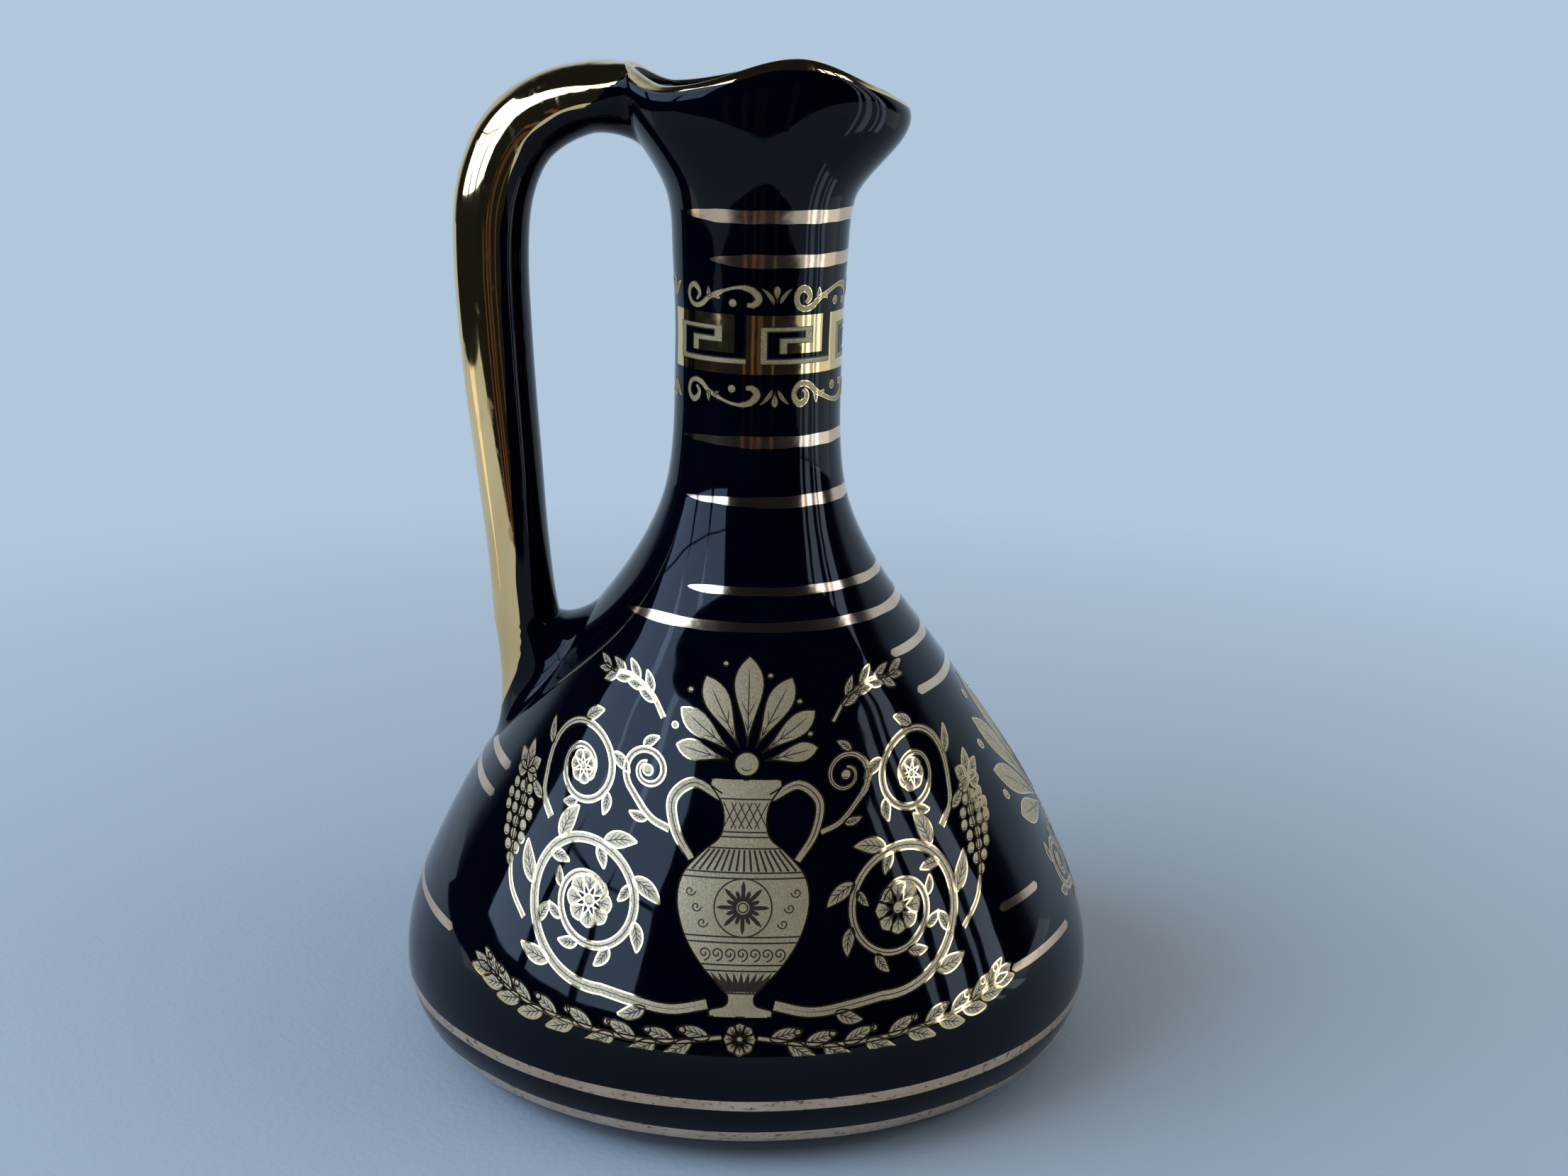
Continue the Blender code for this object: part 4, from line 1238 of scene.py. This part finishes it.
def floor_material():
    """Pale matte table that passes into the even background colour far from the jug; that colour glows
    there, painted light that brightens the floor away from the jug and thins its shadow.
    """
    material, tree = new_material("pale_floor")
    grain = tuple(part * FLOOR_GRAIN for part in FLOOR_COLOUR)
    shader = set_shader(tree, {
        "Base Color": blend(tree, add_noise(tree, 6.0, 3.0), FLOOR_COLOUR, grain),
        "Roughness": 1.0,
        "Specular IOR Level": 0.0,
        "Normal": add_bump(tree, add_noise(tree, 900.0, 3.0), 0.3, 0.0003),
    })
    place = add_node(tree, "TexCoord")
    distance = add_node(tree, "VectorMath", {0: place.outputs["Object"]}, operation="LENGTH")
    # Painted light: away from the jug the floor glows with the background colour, and the far part of its
    # shadow fades out
    far = remap(tree, distance.outputs["Value"], FLOOR_FADE_START, FLOOR_FADE_END)
    mix_shaders(tree, far, shader, add_node(tree, "Emission", {"Color": BACKGROUND}))
    return material


def room_material(name, colour, shaded=False):
    """A plain dim colour that glows, for painted reflections; a shaded one is as solid as the mesh's own
    shade attribute says.
    """
    material, tree = new_material(name)
    tree.nodes.remove(tree.nodes["Principled BSDF"])
    glow = add_node(tree, "Emission", {"Color": colour})
    feed(tree, tree.nodes["Material Output"].inputs["Surface"], glow.outputs[0])
    if shaded:
        shade = add_node(tree, "Attribute", attribute_name="shade")
        mix_shaders(tree, shade.outputs["Fac"], add_node(tree, "BsdfTransparent"), glow)
    return material


def add_stage(name, points, faces, material):
    mesh = bpy.data.meshes.new(name)
    mesh.from_pydata([tuple(point) for point in points], [], faces)
    mesh.materials.append(material)
    piece = bpy.data.objects.new(name, mesh)
    bpy.context.collection.objects.link(piece)
    return piece


def add_reflected(name, points, faces, colour, shaded=False):
    """A glowing piece of the room that only reflections show: a painted reflection."""
    piece = add_stage(name, points, faces, room_material(name, colour, shaded))
    piece.visible_camera = False
    piece.visible_diffuse = False
    piece.visible_shadow = False
    return piece


def make_floor():
    turns = np.arange(FLOOR_SIDES) * 360.0 / FLOOR_SIDES
    points = [(x, y, 0.0) for x, y in FLOOR_RADIUS * unit(turns)]
    add_stage("floor", points, [tuple(range(FLOOR_SIDES))], floor_material())


def make_vault():
    """A dark vault in front of the table and over it, faintly glowing and seen only in reflections: painted
    dark reflections of the unlit room.
    """
    turns, rises = np.linspace(-180.0, 180.0, 73), np.linspace(ROOM_LOWEST, 90.0, 17)
    azimuth, elevation = np.meshgrid(turns, rises, indexing="ij")
    sides = ease(azimuth, *ROOM_LEFT) * ease(azimuth, *ROOM_RIGHT)
    shade = np.maximum(sides, ease(elevation, *ROOM_CEILING))
    rise = np.radians(elevation)
    points = around(azimuth, ROOM_RADIUS * np.cos(rise), ROOM_RADIUS * np.sin(rise))
    columns = len(rises)
    faces = []
    for row in range(len(turns) - 1):
        for k in range(columns - 1):
            if shade[row:row + 2, k:k + 2].max() > 0.0:
                first = row * columns + k
                faces.append((first, first + columns, first + columns + 1, first + 1))
    vault = add_reflected("dark_vault", points.reshape(-1, 3), faces, ROOM_COLOUR, True)
    attribute = vault.data.attributes.new("shade", "FLOAT", "POINT")
    attribute.data.foreach_set("value", shade.ravel())


def make_ground():
    """The dark floor beyond the table's front and left edges, as a faintly glowing sheet seen only in
    reflections: a painted dark reflection.
    """
    reach = ROOM_RADIUS
    edge = math.tan(math.radians(-90.0 - ROOM_LEFT[1]))
    corners = (
        (-reach, -reach),
        (reach, -reach),
        (reach, TABLE_FRONT),
        (TABLE_LEFT, TABLE_FRONT),
        (-reach, TABLE_FRONT),
        (TABLE_LEFT, -TABLE_LEFT * edge),
        (-reach, reach * edge),
    )
    points = [(x, y, GROUND_RISE) for x, y in corners]
    add_reflected("dark_ground", points, [(0, 1, 2, 3, 4), (4, 3, 5, 6)], ROOM_COLOUR)


def make_floor_bands():
    for number, (first, last, near, far, colour) in enumerate(FLOOR_BANDS):
        corners = [(first, near), (last, near), (last, far), (first, far)]
        if number < POINTED_BANDS:
            corners[:2] = [((first + last) / 2.0, near)]
        points = [around(azimuth, distance, BAND_RISE) for azimuth, distance in corners]
        # Each band glows and is hidden from the camera: a painted reflection
        add_reflected(f"floor_band_{number}", points, [tuple(range(len(points)))], colour)


def aim(place, target):
    direction = Vector(target) - Vector(place)
    return direction.to_track_quat("-Z", "Y").to_matrix().to_4x4()


def add_light(name, azimuth, elevation, distance, width, height, radiance):
    light = bpy.data.lights.new(name, "AREA")
    light.shape = "RECTANGLE"
    light.size = width
    light.size_y = height
    light.energy = max(radiance) * math.pi * width * height
    light.color = [part / max(radiance) for part in radiance]
    lamp = bpy.data.objects.new(name, light)
    rise = math.radians(elevation)
    place = around(azimuth, distance * math.cos(rise), distance * math.sin(rise)).tolist()
    lamp.matrix_world = Matrix.Translation(place) @ aim(place, LIGHT_AIM)
    lamp.visible_camera = False
    bpy.context.collection.objects.link(lamp)
    return lamp


def make_lights():
    for number, (azimuth, width) in enumerate(LEFT_WINDOWS, 1):
        for pane, elevation in LEFT_PANES:
            name = f"window_left_{number}_{pane}"
            add_light(name, azimuth, elevation, WINDOW_DISTANCE, width, LEFT_PANE_HEIGHT, LEFT_LIGHT)
    for number, (azimuth, width) in enumerate(RIGHT_WINDOWS, 1):
        name = f"window_right_{number}"
        add_light(name, azimuth, RIGHT_ELEVATION, WINDOW_DISTANCE, width, RIGHT_HEIGHT, RIGHT_LIGHT)
    add_light("soft_light", *SOFT_LIGHT).visible_glossy = False


def make_world():
    """Soft neutral light; the camera, mirrors and glass see the pale background colour."""
    world = bpy.data.worlds.new("studio")
    world.use_nodes = True
    tree = world.node_tree
    light_path = add_node(tree, "LightPath")
    seen = light_path.outputs["Is Camera Ray"]
    for name in ("Is Glossy Ray", "Is Transmission Ray"):
        seen = add_node(tree, "Math", {0: seen, 1: light_path.outputs[name]}, operation="MAXIMUM").outputs[0]
    feed(tree, tree.nodes["Background"].inputs["Color"], blend(tree, seen, AMBIENT, BACKGROUND))
    bpy.context.scene.world = world


def make_camera():
    data = bpy.data.cameras.new("camera")
    data.sensor_fit = "HORIZONTAL"
    data.sensor_width = SENSOR_WIDTH
    data.lens = CAMERA_LENS
    camera = bpy.data.objects.new("camera", data)
    turn = Matrix.Rotation(math.radians(90.0 - CAMERA_PITCH), 4, "X")
    roll = Matrix.Rotation(math.radians(CAMERA_ROLL), 4, "Z")
    camera.matrix_world = Matrix.Translation(CAMERA_PLACE) @ turn @ roll
    bpy.context.collection.objects.link(camera)
    bpy.context.scene.camera = camera


def make_jug():
    bright = gold_material(
        "bright_gold", (0.98, 0.69, 0.33), (0.90, 0.58, 0.24), 0.05, 0.10, (1.0, 1.0, 0.35), 0.16)
    printed = gold_material("print_bright_gold", (0.93, 0.66, 0.32), (0.86, 0.57, 0.25), 0.07, 0.05)
    neck_matte = print_material("neck_matte_gold", (0.74, 0.735, 0.62))
    etch = etch_material()
    make_body(glaze_material("black_glaze"))
    make_handle(glaze_material("handle_glaze"))
    make_lip_gold(bright)
    make_handle_gold(bright)
    make_lines(line_material("line_gold", 0.72), line_material("worn_line_gold", 0.56))
    make_key_band(printed, neck_matte, etch)
    make_borders((neck_matte, printed, etch))
    make_panels((print_material("print_matte_gold"), printed, etch))


def make_studio():
    bpy.context.scene.view_settings.view_transform = "Standard"
    make_floor()
    make_vault()
    make_ground()
    make_floor_bands()
    make_lights()
    make_world()
    make_camera()


make_jug()
make_studio()
